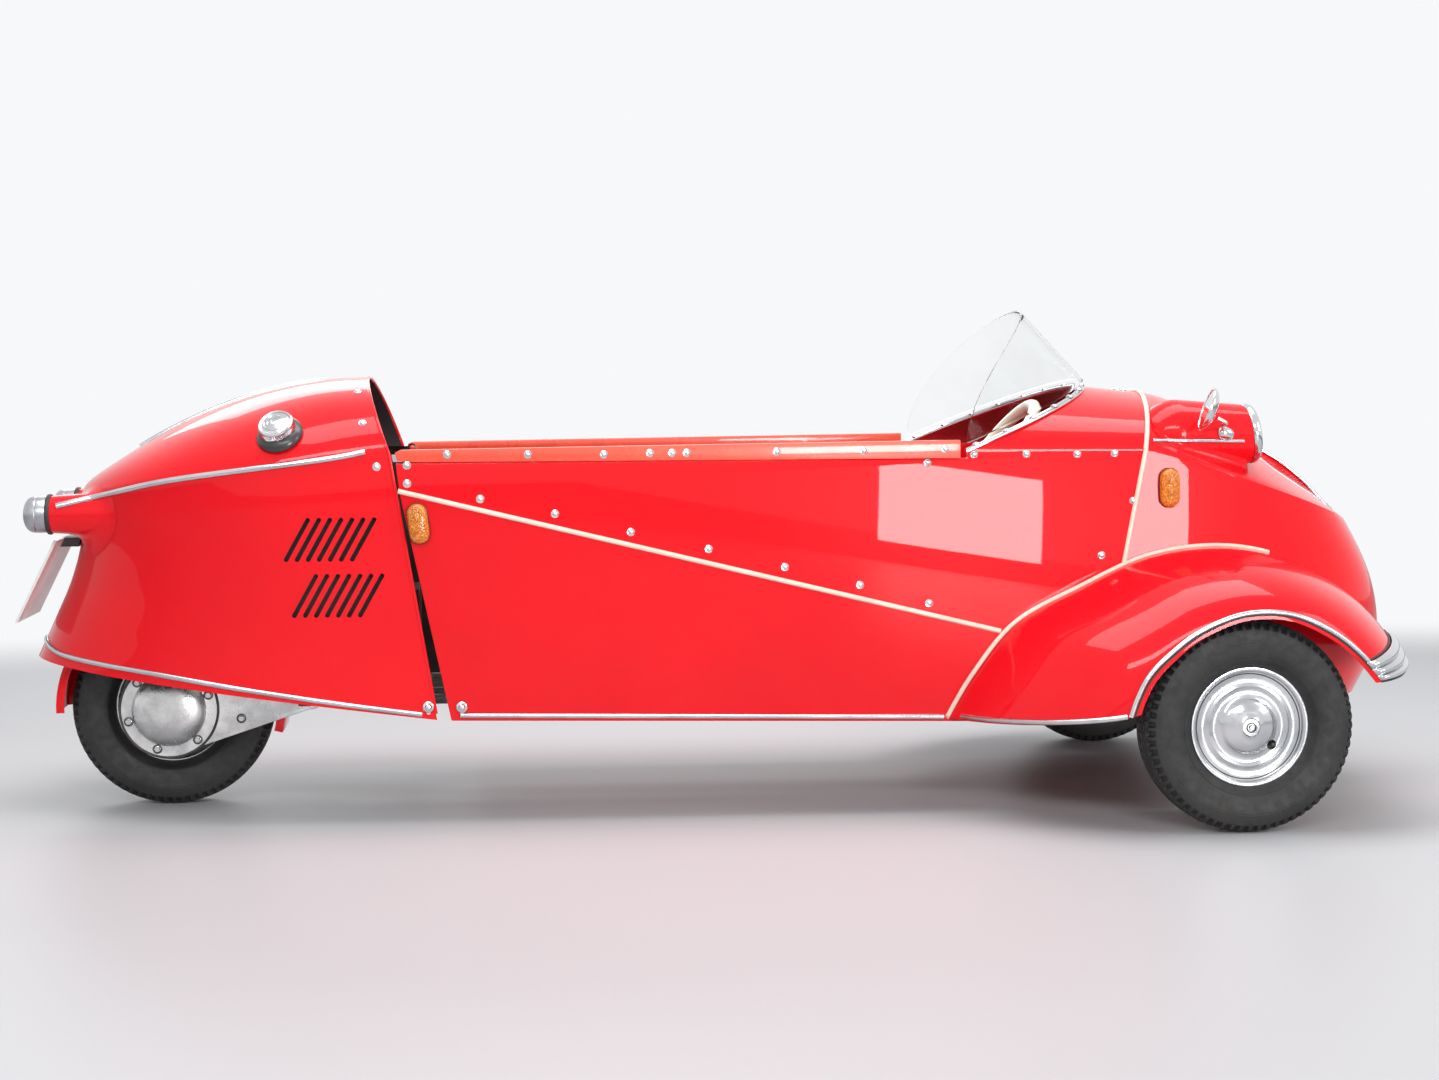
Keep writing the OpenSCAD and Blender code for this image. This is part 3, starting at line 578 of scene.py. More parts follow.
tyreRubber = newFinish("tyreRubber", (0.010, 0.010, 0.011), (0.018, 0.018, 0.018), (0.55, 0.7),
                       driftScale=18.0, grain=240.0, share=0.9, bump=0.3, bumpDepth=0.0012,
                       wear=(34.0, 0.2, (0.09, 0.085, 0.08)), dust=(0.12, 0.14, 0.2))
darkMetal = newFinish("darkMetal", (0.16, 0.16, 0.17), (0.09, 0.085, 0.085), (0.42, 0.6),
                      metal=0.7, grain=200.0, share=0.9, bump=0.3, dust=(0.5, 0.5, 0.3),
                      wear=(40.0, 0.4, (0.06, 0.05, 0.045)))
ivory = newFinish("ivory", (0.83, 0.77, 0.63), (0.78, 0.70, 0.55), (0.2, 0.3), coat=0.5,
                  bump=0.06, wear=(70.0, 0.2, (0.5, 0.42, 0.3)))
plateWhite = newFinish("plateWhite", (0.82, 0.82, 0.80), (0.74, 0.74, 0.72), (0.28, 0.4),
                       coat=0.3, bump=0.1, wear=(50.0, 0.2, (0.5, 0.47, 0.42)))
gauge = newFinish("gauge", (0.80, 0.78, 0.70), (0.74, 0.71, 0.62), (0.3, 0.4), bump=0.03)


def clearFinish(name, colour, rough, ior, transmission):
    return newFinish(name, colour, tuple(0.95 * c for c in colour), (rough, rough * 1.6),
                     bump=0.03, **{"IOR": ior, "Transmission Weight": transmission})


perspex = clearFinish("perspex", (0.985, 0.992, 0.99), 0.012, 1.08, 1.0)
lampGlass = clearFinish("lampGlass", (0.93, 0.95, 0.96), 0.05, 1.45, 0.9)


def celled(material, scale, strength, depth):  # small cells pressed into the surface
    tree = material.node_tree
    spots = ownSpots(tree)
    cells = tree.nodes.new("ShaderNodeTexVoronoi")
    cells.feature = "DISTANCE_TO_EDGE"
    feed(tree, cells.inputs["Scale"], scale)
    feed(tree, cells.inputs["Vector"], spots)
    creases = ranged(tree, cells.outputs["Distance"], 0.0, 0.25, 0.0, 1.0)
    soft = mathNode(tree, "MULTIPLY", noiseNode(tree, spots, 26.0, 4.0), 2.0)
    height = mathNode(tree, "ADD", creases, soft)
    for label, value in (("Strength", strength), ("Distance", depth), ("Height", height)):
        feed(tree, tree.nodes["Bump"].inputs[label], value)
    return material


amberLens = celled(newFinish("amberLens", (1.0, 0.36, 0.008), (0.80, 0.17, 0.004), (0.12, 0.2),
                             driftScale=170.0, coat=0.7, coatRough=0.05), 190.0, 0.9, 0.0025)


def leatherFinish(name, colour, second):  # grained cover with fine creases
    return celled(newFinish(name, colour, second, (0.36, 0.5), driftScale=8.0, coat=0.15,
                            coatRough=0.3,
                            wear=(50.0, 0.12, tuple(min(1, c * 1.8) for c in colour))),
                  420.0, 0.45, 0.0008)


seatCover = leatherFinish("seatCover", (0.20, 0.012, 0.014), (0.15, 0.010, 0.012))
seatWelt = leatherFinish("seatWelt", (0.72, 0.64, 0.52), (0.64, 0.55, 0.44))
print("finishes ready")


rolling = {"around": 120, "step": 2, "before": -4, "arc": 8, "sink": 0.985}


def blendInto(tree, start, back, radiusAt, fillet, reach, away):
    # a ball rolls round between a pod that runs back from its face and the skin behind it
    radius = fillet * 0.001
    across = back.orthogonal().normalized()
    other = back.cross(across)
    slope = (radiusAt(100) - radiusAt(0)) / 100
    arc = rolling["arc"]
    rows = []
    for a in evenly(0, 2 * pi, rolling["around"]):
        out = across * cos(a) + other * sin(a)
        found = previous = None
        for depth in range(rolling["before"], rolling["before"] + reach, rolling["step"]):
            centre = start + back * (depth * 0.001) + out * (radiusAt(depth) * 0.001 + radius)
            near, normal, _, distance = tree.find_nearest(centre)
            signed = distance if (centre - near).dot(normal) > 0 else -distance
            if previous is not None and previous[0] > radius >= signed:
                found = previous[1].lerp(centre, (previous[0] - radius) / (previous[0] - signed))
                break
            previous = (signed, centre)
        if found is None:
            rows.append(None)
            continue
        first = (tree.find_nearest(found)[0] - found).normalized()
        second = -(out - back * slope).normalized()
        rows.append([found + first.slerp(second, share) * (radius * rolling["sink"])
                     for share in evenly(0, 1, arc)])
    strips, run = [], []
    for row in rows + [None]:
        if row is not None:
            run.append(row)
            continue
        if len(run) > 2:
            strips.append(run)
        run = []
    if rows[0] is not None and rows[-1] is not None and len(strips) > 1:
        strips[0] = strips.pop() + strips[0][1:]
    made = []
    for strip in strips:
        count = len(strip) - 1
        made.append(layGrid("podBlend", lambda u, v, s=strip, n=count:
                            s[int(round(u * n))][int(round(v * arc))], count, arc))
        painted(faceAway(made[-1], away), redPaint)
    return made


def skinOf(name, form, shape, inside):  # the bare outer skin of both sides
    sheet = layGrid(name, lambda u, v: place(form(u, v)), shape["lengthSteps"],
                    shape["heightSteps"])
    return faceAway(merged(mirrored(sheet), outside=False), inside)


def shellOf(skin, lining):  # a wall on a copy of the skin, which stays as a guide
    shell = painted(copyOf(skin), redPaint, lining)
    skin.hide_render = True
    return walled(shell, lining=1)


tailShape = {"lengthSteps": 56, "heightSteps": 72, "hem": 0.016, "slots": 7,
             "slotRows": ((246, 505), (259, 399)), "slotStep": 20.5, "slotWidth": 10,
             "slotLean": 46, "slotRise": 82, "slotY": 295, "slotDepth": 105,
             "podAt": (-205, 150, 589), "podRadius": 36, "podFlare": 15, "podLength": 132,
             "podBlend": 42}


def tailPodRadius(d):
    return tailShape["podRadius"] + d / tailShape["podFlare"]


tailSkin = skinOf("tailShell", tailForm, tailShape, place((250, 0, 450)))
tailTree = surfaceOf(tailSkin)
tailShell = shellOf(tailSkin, paintedShadeLining)
for face in tailShell.data.polygons:  # the hem inside the hoop is painted
    lean = (face.center.z * 1000 - hoopFoot[1]) / car["hoopHeight"]
    edge = place((hoopFoot[0] - car["hoopLean"] * lean, 0, 0)).x
    if lean > 0 and face.center.x > edge - tailShape["hem"]:
        face.material_index = 0


def slotTool(x, z, side):  # slanted round-ended prism through one flank
    width, lean, rise = (tailShape[k] for k in ("slotWidth", "slotLean", "slotRise"))
    startAlone()
    bpy.ops.mesh.primitive_cylinder_add(vertices=20, radius=1, depth=2, location=(0, 0, 0))
    tool = bpy.context.object
    run = Vector((lean, 0, rise))
    length = run.length
    half = width * 0.5 * rise / length
    run.normalize()
    centre = Vector((x + (lean + width) / 2, side * tailShape["slotY"], z + rise / 2))
    for vertex in tool.data.vertices:
        a, b, deep = vertex.co
        along = b * half + (1 if b > 0 else -1) * (length / 2 - half)
        vertex.co = place(centre + Vector((run.z, 0, -run.x)) * (a * half) + run * along +
                          Vector((0, tailShape["slotDepth"] * deep, 0)))
    return edited(tool, outwardNormals)


cutBy(tailShell, joined("slotTools", [slotTool(x + k * tailShape["slotStep"], z, side)
                                      for x, z in tailShape["slotRows"]
                                      for k in range(tailShape["slots"]) for side in (-1, 1)]))
pods = []
podX, podY, podZ = tailShape["podAt"]
length = tailShape["podLength"]
for side in (-1, 1):
    start = place((podX, side * podY, podZ))
    profile = [(tailPodRadius(d), d) for d in range(0, length + 1, 4)]
    pod = turned("tailLampPod", [(0, 0)] + profile + [(0, length)], 64, start, (1, 0, 0))
    painted(pod, redPaint, paintedShadeLining)
    for face in pod.data.polygons:  # the end inside the cover takes the near-black painted shade lining, like the rest
        near, normal = tailTree.find_nearest(face.center)[:2]
        face.material_index = 1 if (face.center - near).dot(normal) < -0.003 else 0
    pods += [pod] + blendInto(tailTree, start, Vector((1, 0, 0)), tailPodRadius,
                              tailShape["podBlend"], 170, start + Vector((0.07, 0, 0)))
tailShell = joined("tailShell", [tailShell] + pods)


def shadeSheetSpot(u, v):  # dark sheet a little way in behind the slots, painted shade that keeps the openings dark
    point, normal = onSide(tailTree, mix(222, 462, u), mix(384, 604, v))
    return point - normal * 0.013


shadeSheet = walled(faceAway(layGrid("slotShadeSheet", shadeSheetSpot, 24, 20), place((340, 0, 490))), 0.0012)
for part in (shadeSheet, otherSide(shadeSheet, "slotShadeSheetLeft")):
    finishPiece(part, paintedShadeLining, "tail_cover")
finishPiece(tailShell, None, "tail_cover", ["tail_shell"])
print("tail shell", len(tailShell.data.polygons))

noseShape = {"lengthSteps": 60, "heightSteps": 72, "podRadius": 58, "podSwell": 14, "podLength": 180,
             "lampAt": (frontAxle + 97, 235, 731), "lampTilt": 8, "fillet": 16, "pocket": 63,
             "axleHole": 29}
noseSkin = skinOf("noseShell", noseForm, noseShape, place((frontAxle - 60, 0, 400)))
noseTree = surfaceOf(noseSkin)
lampX, lampY, lampZ = noseShape["lampAt"]
tilt = radians(noseShape["lampTilt"])
lampLook = Vector((cos(tilt), 0, sin(tilt)))
noseShell = shellOf(noseSkin, shadedInnerPaint)


def lampSpot(side):
    return place((lampX, side * lampY, lampZ))


def cutPocket(piece, side):  # seat of the headlamp's ring
    return cutBy(piece, rod("pocketTool", noseShape["pocket"], 0, 130, 64, lampSpot(side),
                            lampLook))


cutPocket(noseShell, -1)
cutPocket(noseShell, 1)
cutBy(noseShell, rod("axleTool", noseShape["axleHole"], 0, 800, 48,
                     place((frontAxle, -400, car["tyreRadius"])), (0, 1, 0)))


def podRadiusAt(d):  # widens slowly, then rounds off under the cowl
    wide, swell, long = (noseShape[k] for k in ("podRadius", "podSwell", "podLength"))
    drop = max(0, (d - 142) / 88)
    return max(3, wide + swell * min(d, 142) / long - 54 * drop ** 2)


def podPiece(side):  # pod behind one headlamp with its lamp's seat, blended into the nose
    lamp = lampSpot(side)
    wide = noseShape["podRadius"]
    body = turned("pod", [(0, -10), (wide - 2, -10)] +
                  [(podRadiusAt(d), d) for d in range(-7, 222, 6)] + [(0, 232)], 96, lamp,
                  (-1, 0, 0))
    cutPocket(body, side).data.materials.clear()
    return [painted(body, redPaint)] + blendInto(noseTree, lamp, Vector((-1, 0, 0)), podRadiusAt,
                              noseShape["fillet"], 200, lamp + Vector((-0.09, 0, 0)))


noseShell = joined("noseShell", [noseShell] + podPiece(-1) + podPiece(1))
finishPiece(noseShell, None, "root", ["nose_shell"])
print("nose shell", len(noseShell.data.polygons))

cowl = mirrored(layGrid("scuttleCowl", lambda u, v: place(cowlForm(u * 1.02 - 0.01, v)), 24, 48))
faceAway(merged(cowl, outside=False), place((1700, 0, 500)))
walled(painted(cowl, redPaint, shadedInnerPaint), lining=1)
finishPiece(cowl, None, "root", ["scuttle_cowl"])

wing = {"lengthSteps": 96, "sectionSteps": 40}
wingRight = layGrid("fenderRight", lambda u, v: place(wingForm(u, v)), wing["lengthSteps"],
                    wing["sectionSteps"])
faceAway(wingRight, place((frontAxle, -400, 250)))
# the wing's inner wall takes the near-black painted shade lining
walled(painted(wingRight, redPaint, paintedShadeLining), lining=1)
wingLeft = otherSide(wingRight, "fenderLeft")
finishPiece(wingRight, None, "root", ["fender_right"])
finishPiece(wingLeft, None, "root", ["fender_left"])

# the coaming rails take the lighter orange copy of the red, painted highlight
for name, node, paint, slot, edge in (
        ("sidePanel", "side_panel_", redPaint, "red_paint", 2.0),
        ("coamingRail", "coaming_rail_", litRailPaint, "rail_paint", 4.0)):
    for side, title in sides:
        own = node + title.lower()
        finishPiece(softened(name + title, own, edge, 3), paint, "root", [own])
print("body done")

screen = mirrored(layGrid("windscreen", lambda u, v: place(screenForm(1 - u, v)), 20, 48))
faceAway(merged(screen, outside=False), place((1600, 0, 800)))
walled(screen, 0.004)
worked(screen, "BEVEL", width=0.0012, segments=2, limit_method="ANGLE", angle_limit=radians(60))
finishPiece(screen, perspex, stands=["windscreen"])

channelSteps = 72
channelPath = []
for i in range(2 * channelSteps + 1):
    a = pi / 2 * (1 - abs(i - channelSteps) / channelSteps)
    foot = screenFoot(a)
    channelPath.append(place((foot[0] - 4, foot[1] if i <= channelSteps else -foot[1], foot[2])))
channel = swept("screenChannel", channelPath, [upward] * len(channelPath),
                [(-8, 0.4), (-8, 2.6), (-7, 3.6), (-3.4, 4), (-3, 6.4), (3, 6.4), (3.4, 4),
                 (7, 3.6), (8, 2.6), (8, 0.4)])
finishPiece(channel, polished, stands=["windscreen_frame"])
print("screen done")


# Beads, strips and studs
flank = Vector((0, -1, 0))
noseOuter = surfaceOf(noseShell)
# Width and height of each moulding, and radius and lift of the cream cord and the lip's line
trims = {"bead": (9.5, 5.5), "strip": (10.0, 5.0), "tail": (11.5, 6.0), "lip": (9.0, 4.5),
         "flank": (7.5, 4.5), "ridge": (11.0, 5.0), "cord": (4.6, 2.6), "line": (1.7, 0.4)}


def bothWays(name, piece, finish, body="root", angle=40):
    twin = otherSide(piece, name + "Left")
    named(piece, name + "Right")
    for part in (piece, twin):
        finishPiece(part, finish, body, angle=angle)
    return piece, twin


def onPanel(x, z):
    return place((x, -sideY(x, z), z)), flank


def onForm(form, u, v):
    return place(form(u, v)), outward(form, u, v)


def stripAlong(name, spotsOn, section):
    return swept(name, [p for p, n in spotsOn], [n for p, n in spotsOn], section)


stripShape = stripSection(*trims["strip"])
cordSection = roundSection(*trims["cord"])
crease = [onPanel(x, creaseZ(x)) for x in evenly(463, 1612, 60)]
bothWays("sideBead", stripAlong("bead", crease, stripSection(*trims["bead"])), creamBead)


def jointSpot(u):  # where the wing meets the body
    x, y, z = through(wingJoint, u)
    x += frontAxle
    if x < beadTop - 0.2 * (car["wallTop"] - z) - 2:
        return place((x, -sideY(x, z) - 0.5, z - 0.5)), Vector((0, -0.75, 0.66))
    point, normal = onSide(noseTree, x, z)
    return point, (normal + Vector((0, 0, 0.8))).normalized()


bothWays("wingBead", stripAlong("bead", [jointSpot(i / 90) for i in range(61)], cordSection),
         creamBead)

seam = [(place(noseForm(0.0, v)), outward(noseForm, 0.02, min(v, 0.996)))
        for v in evenly(0.285, 1, 60)]
crown, normal = seam.pop()  # in the middle plane
otherHalf = [(acrossCar(p), acrossCar(n)) for p, n in reversed(seam)]
seam += [(crown, Vector((normal.x, 0, normal.z)).normalized())] + otherHalf
finishPiece(stripAlong("noseSeamBead", seam, cordSection), creamBead)

tailOuter = surfaceOf(tailShell)
tailLine = [(-190, 606), (-120, 622), (42, 658), (319, 695), (403, 710)]
bothWays("tailStrip", stripAlong("strip", pathOnSide(tailOuter, tailLine, 80),
                                 stripSection(*trims["tail"])), polished, "tail_cover")
skirtLine = [(-244, 338), (-190, 316), (-10, 291), (180, 260), (357, 232), (502, 211)]
bothWays("tailSkirtStrip", stripAlong("strip", pathOnSide(tailTree, skirtLine, 80), stripShape),
         polished, "tail_cover")
sill = [onPanel(mix(574, 1503, t), mix(208, 190, t)) for t in evenly(0, 1, 40)]
bothWays("sillStrip", stripAlong("strip", sill, stripShape), polished)
lip = [onForm(wingForm, u, 0.075) for u in evenly(0.004, 0.939, 90)]
bothWays("wingLipStrip", stripAlong("strip", lip, stripSection(*trims["lip"])), polished)
lip = [onForm(wingForm, u, 0.045) for u in evenly(0.004, 0.939, 90)]
bothWays("wingLipLine", stripAlong("strip", lip, roundSection(*trims["line"], 8)), rubber)
wingFoot = [onForm(wingForm, 0.014, v) for v in evenly(0.1, 0.92, 60)]
bothWays("wingFootStrip", stripAlong("strip", wingFoot, stripShape), polished)
flankLine = [(1915, 721), (1980, 720), (2050, 719), (2104, 718)]
bothWays("noseFlankStrip", stripAlong("strip", pathOnSide(noseOuter, flankLine, 40),
                                      stripSection(*trims["flank"])), polished)


def crestStrip(name, body, path):  # strip on a crest in the middle plane
    last = len(path) - 1
    runs = [path[min(i + 1, last)] - path[max(i - 1, 0)] for i in range(last + 1)]
    strip = swept(name, path, [Vector((-run.z, 0, run.x)).normalized() for run in runs],
                  stripSection(*trims["ridge"]))
    finishPiece(strip, polished, body)


crestStrip("tailCrestStrip", "tail_cover",
           [place(tailForm(u, 1.0)) for u in evenly(0.42, 0.95, 60)])
crestStrip("noseCrestStrip", "root", [place(noseForm(1.0, v)) for v in evenly(0.985, 0.36, 60)])

# Painted roll round the tail shell's front edge
hemPath = [place(tailSeam(v)) for v in evenly(0.012, 1, 90)]
hemPath += [acrossCar(p) for p in reversed(hemPath[:-1])]
hemUps = []
for p in hemPath:
    out = Vector((0, p.y, max(p.z - hoopFoot[1] * 0.001, 0) * 1.6))
    hemUps.append(out.normalized())
finishPiece(swept("hoopEdge", hemPath, hemUps, roundSection(3.4, -1.6, 10)), redPaint, "tail_cover")

fitting = {"at": 0.525, "long": 27, "wide": 9.5, "high": 7.0, "pinch": 0.45, "droop": 0.0009}


def crestPiece(name, grow, low, high):  # long low lozenge with softened edges on the crest
    at = fitting["at"]
    run = (place(noseForm(1.0, at + 0.01)) - place(noseForm(1.0, at - 0.01))).normalized()
    centre, out = place(noseForm(1.0, at)), Vector((run.z, 0, -run.x))
    startAlone()
    bpy.ops.mesh.primitive_uv_sphere_add(segments=48, ring_count=24, radius=1, location=(0, 0, 0))
    piece = named(bpy.context.object, name)
    for vertex in piece.data.vertices:
        a, b, c = vertex.co
        wide = (1 - fitting["pinch"] * abs(a)) * (fitting["wide"] + grow)
        rise = mix(low, high, max(c, -0.35)) - fitting["droop"] * (a * fitting["long"]) ** 2
        vertex.co = centre + 0.001 * (run * (a * (fitting["long"] + grow)) +
                                      Vector((0, b * wide, 0)) + out * rise)
    return piece


finishPiece(crestPiece("crestFitting", 0, 2.2, fitting["high"]), chrome)
finishPiece(crestPiece("crestInlay", -3.4, 3.6, fitting["high"] + 0.9), rubber)
jetMaster = turned("jet", [(0, -2), (6.5, -2), (6.5, 1), (4.6, 1.8), (4.2, 5), (3, 6.4), (1.2, 7),
                           (1.2, 5), (0, 5)], 20)
spot, look = onForm(cowlForm, 0.76, 0.955)
jets = [(spot, look), (acrossCar(spot), acrossCar(look))]
finishPiece(copiesAt("washerJets", jetMaster, jets), chrome)

studRows = {
    "rail": [(555, 704), (706, 703), (849, 702), (936, 704), (978, 704), (1006, 704), (1178, 705),
             (1345, 706), (1503, 708)],
    "panel": [(480, 650), (616, 620), (756, 591), (899, 555), (1047, 521), (1193, 485),
              (1338, 449), (1472, 412), (1875, 605), (1812, 500), (1470, 682), (480, 684)],
    "cowl": [(1561, 697), (1664, 697), (1764, 696), (1838, 697)],
}


def addStuds(name, spots, body):  # domed caps on pressed rings, on both sides of the car
    spots = spots + [(acrossCar(p), acrossCar(d)) for p, d in spots]
    stud = turned("stud", [(0, -1.5), (7.6, -1.5), (7.8, 0.4), (6.6, 1.4), (5.2, 1.2), (4.9, 2.8),
                           (3.4, 4.2), (1.6, 4.8), (0, 4.9)], 16)
    finishPiece(copiesAt(name, stud, spots), chrome, body)


bodyStuds = [(place((x, -sideY(1000, 690) - 3, z)), flank) for x, z in studRows["rail"]]
bodyStuds += [onPanel(x, z) for x, z in studRows["panel"] + studRows["cowl"]]
for a in (4, 16, 28, 40, 52, 64, 78):  # along the foot of the screen
    foot = screenFoot(radians(a))
    bodyStuds.append((place((foot[0] - 4, foot[1], foot[2] + 5.5)), upward))
addStuds("bodyStuds", bodyStuds, "root")
addStuds("coverStuds", [onSide(tailTree, x, z) for x, z in ((383, 822), (397, 764), (424, 682))],
         "tail_cover")
print("trims done")


tyre = {"blocks": 68, "stepsPerBlock": 6, "lugDepth": 5.2, "grooveDepth": 4.2,
        "rows": [(103, 28.5), (108, 30.5), (112, 31), (117, 34), (124, 40.5), (132, 44.8),
                 (143, 48), (156, 49.7), (168, 49.4), (176, 48), (182, 46.2), (186.5, 44)],
        "shoulder": [(186.5, 44), (190, 41.5), (193, 38.5), (195.4, 34), (196.6, 28),
                     (197.4, 20), (197.9, 10), (198, 0)]}


def tyrePiece(name, hub):  # walls with thin rings, and a tread of blocks, grooves and sipes
    half = [(r, y, 0) for r, y in tyre["rows"][:-1]]
    for r0, y0 in ((127, 42.6), (160, 49.8), (164, 49.7)):  # thin rings on the wall
        half += [(r0 - 0.8, y0, 0), (r0, y0 + 0.2, 1), (r0 + 0.8, y0, 0)]
    half.sort(key=lambda row: row[0])
    walls = [(r, y + (0.25 if k == 1 and r < 150 else 0), 0) for r, y, k in half]
    tread = [(*through(tyre["shoulder"], i / 23), 1) for i in range(23)]
    section = [(r, -y, t) for r, y, t in walls + tread] + [(198, 0, 1)] + \
              [(r, y, t) for r, y, t in reversed(walls + tread)]
    around = tyre["blocks"] * tyre["stepsPerBlock"]
    count = len(section)

    def skin(u, v):
        i, j = int(round(u * around)) % around, int(round(v * count)) % count
        r, y, t = section[j]
        angle = 2 * pi * i / around
        if t:
            phase = (i % tyre["stepsPerBlock"]) / tyre["stepsPerBlock"]
            zig = 2.2 * (abs(phase * 2 - 1) * 2 - 1)
            off = abs(y)
            if 31 < off < 45 and 0.3 < phase < 0.7:
                r -= tyre["lugDepth"] * min(1, (45 - off) / 3)
                y -= (2.6 if y > 0 else -2.6) * (1 if off > 36 else 0)
            for groove in (-27.5, -9, 9, 27.5):
                if abs(y - groove - zig * 0.6) < 1.7:
                    r -= tyre["grooveDepth"]
            if off < 26 and phase == 0.5 and int(off / 9) != 1:
                r -= 1.8
        return hub + Vector((r * sin(angle), y, r * cos(angle))) * 0.001

    return merged(layGrid(name, skin, around, count), 0.00001)


wheelRows = [(0, 44), (4.6, 44), (5.2, 42.6), (15.5, 42), (17, 40.5), (19, 38.6), (27, 37.4),
             (36, 34.4), (43, 31), (47.5, 29), (50.5, 25.5), (56, 22), (64, 20.4), (69, 20.6),
             (72, 22.8), (75, 24), (78, 22.8), (81, 20.8), (88, 20.8), (96, 22.4), (100, 24.6),
             (101.4, 25), (101.8, 30), (104, 32.4), (107.5, 34), (110.5, 33.4), (111.6, 31.6),
             (110.6, 30.4), (106, 30), (102.6, 26), (102.4, -26), (106, -30), (110.6, -30.4),
             (111.6, -32), (110, -33.6), (105, -33), (100, -29), (98.6, -24), (98.6, 12),
             (90, 14), (74, 14), (56, 15), (44, 24), (30, 30), (26, 30), (26, -29.5), (10.6, -29.5),
             (10.6, 34), (0, 34)]


valve = {"reach": 0.058, "turn": -38, "hole": 9.4}


def wheelPiece(name, hub, out):
    turn = radians(valve["turn"])
    spot = hub + Vector((cos(turn), 0, sin(turn))) * valve["reach"]
    disc = cutBy(turned(name, wheelRows, 96, hub, (0, out, 0)),
                 rod("valveTool", valve["hole"], 0, 60, 32, spot, (0, out, 0)))
    stem = turned("valve", [(0, 6), (13, 6), (13, 9), (4.2, 9.6), (4, 15), (3, 17), (3, 24),
                            (3.6, 24.6), (3.6, 29), (0, 29.6)], 16,
                  spot + Vector((0.0015, 0, 0.001)), (0, out, 0))
    nut = turned("nut", [(0, 41.6), (5.4, 41.6), (5.4, 45.6), (4.6, 46.6), (0, 46.8)], 6, hub,
                 (0, out, 0))
    ring = turned("hubRing", [(7.6, 43), (7.8, 44.7), (8.6, 44.9), (9.3, 44.4), (9.4, 43)], 40,
                  hub, (0, out, 0))
    seam = turned("rimSeam", [(97, 22.6), (97.2, 23.7), (98, 24.3), (98.9, 24.7), (99.1, 23.6)],
                  96, hub, (0, out, 0))
    return disc, joined("valve", [stem, ring, seam]), nut


corners = (("front", "right", frontAxle, -car["track"] / 2, -1, "wheel_right"),
           ("front", "left", frontAxle, car["track"] / 2, 1, "wheel_left"),
           ("rear", "", 0, 0, 1, "wheel_rear"))
for end, side, x, y, out, body in corners:
    tag = f"{end}_{{}}_{side}" if side else end + "_{}"
    title = end + side.title()
    hub = place((x, y, car["tyreRadius"]))
    finishPiece(tyrePiece(title + "Tyre", hub), tyreRubber, body, stands=[tag.format("tyre")],
                angle=28)
    disc, stem, nut = wheelPiece(title + "Wheel", hub, out)
    finishPiece(disc, polished, body, stands=[tag.format("wheel")], angle=40)
    finishPiece(named(stem, title + "Valve"), rubber, body)
    finishPiece(named(nut, title + "Nut"), chrome, body)
print("wheels done")


# Lamps, mirrors, filler cap, plate and catches
for side, title in sides:
    lamp = lampSpot(side) + lampLook * 0.0003
    ring = turned("headlampRing" + title, [
        (49, 15), (49.4, 18.4), (51, 19), (53.5, 18.6), (56.5, 16.6), (58.8, 13), (59.8, 8),
        (59.6, 4), (58, 1.2), (56, 0), (46, 0), (46, 12)], 96, lamp, lampLook)
    merged(ring)
    finishPiece(ring, chrome, stands=["headlamp_" + title.lower()], angle=50)
    bowl = turned("headlampBowl" + title, [(48.6, 14), (44, 9), (34, 4.6), (20, 2), (0, 1)], 64,
                  lamp, lampLook)
    finishPiece(bowl, chrome, angle=50)
    bulb = turned("headlampBulb" + title, [(0, 1.4), (5, 1.6), (5, 6), (6.4, 8), (6.6, 11),
                                           (4.8, 14.4), (0, 16)], 24, lamp, lampLook)
    finishPiece(bulb, ivory)
    lens = turned("headlampLens" + title, [
        (0, 26.6), (12, 26.2), (24, 24.8), (36, 22), (44, 19), (48.4, 17), (48.4, 14.8), (44, 16.4),
        (36, 19.4), (24, 22.2), (12, 23.7), (0, 24)], 72, lamp, lampLook)
    for vertex in lens.data.vertices:  # upright flutes behind the lens
        local = vertex.co - lamp
        if local.dot(lampLook) < 0.0243 and abs(local.y) < 0.046:
            vertex.co += lampLook * (0.0006 * sin(local.y * 900))
    finishPiece(lens, lampGlass, angle=50)

for side, title in sides:
    spot = place((podX - 0.3, side * podY, podZ))
    gasket = turned("tailLampGasket" + title, [(0, -1), (38.4, -1), (39.4, 2), (38.6, 6),
                                               (36, 8), (0, 8)], 64, spot, (-1, 0, 0))
    finishPiece(gasket, rubber, "tail_cover")
    shell = turned("tailLamp" + title, [
        (0, 6), (34.4, 6), (35.2, 9), (35.4, 24), (35, 26), (34.2, 26.6), (34.6, 27.6),
        (35.2, 28.4), (34.8, 34), (33, 39.4), (29.6, 44), (24, 48), (16, 51), (8, 52.5),
        (0, 53)], 72, spot, (-1, 0, 0))
    finishPiece(shell, lampMetal, "tail_cover", stands=["tail_lamps"] if side < 0 else (),
                angle=30)


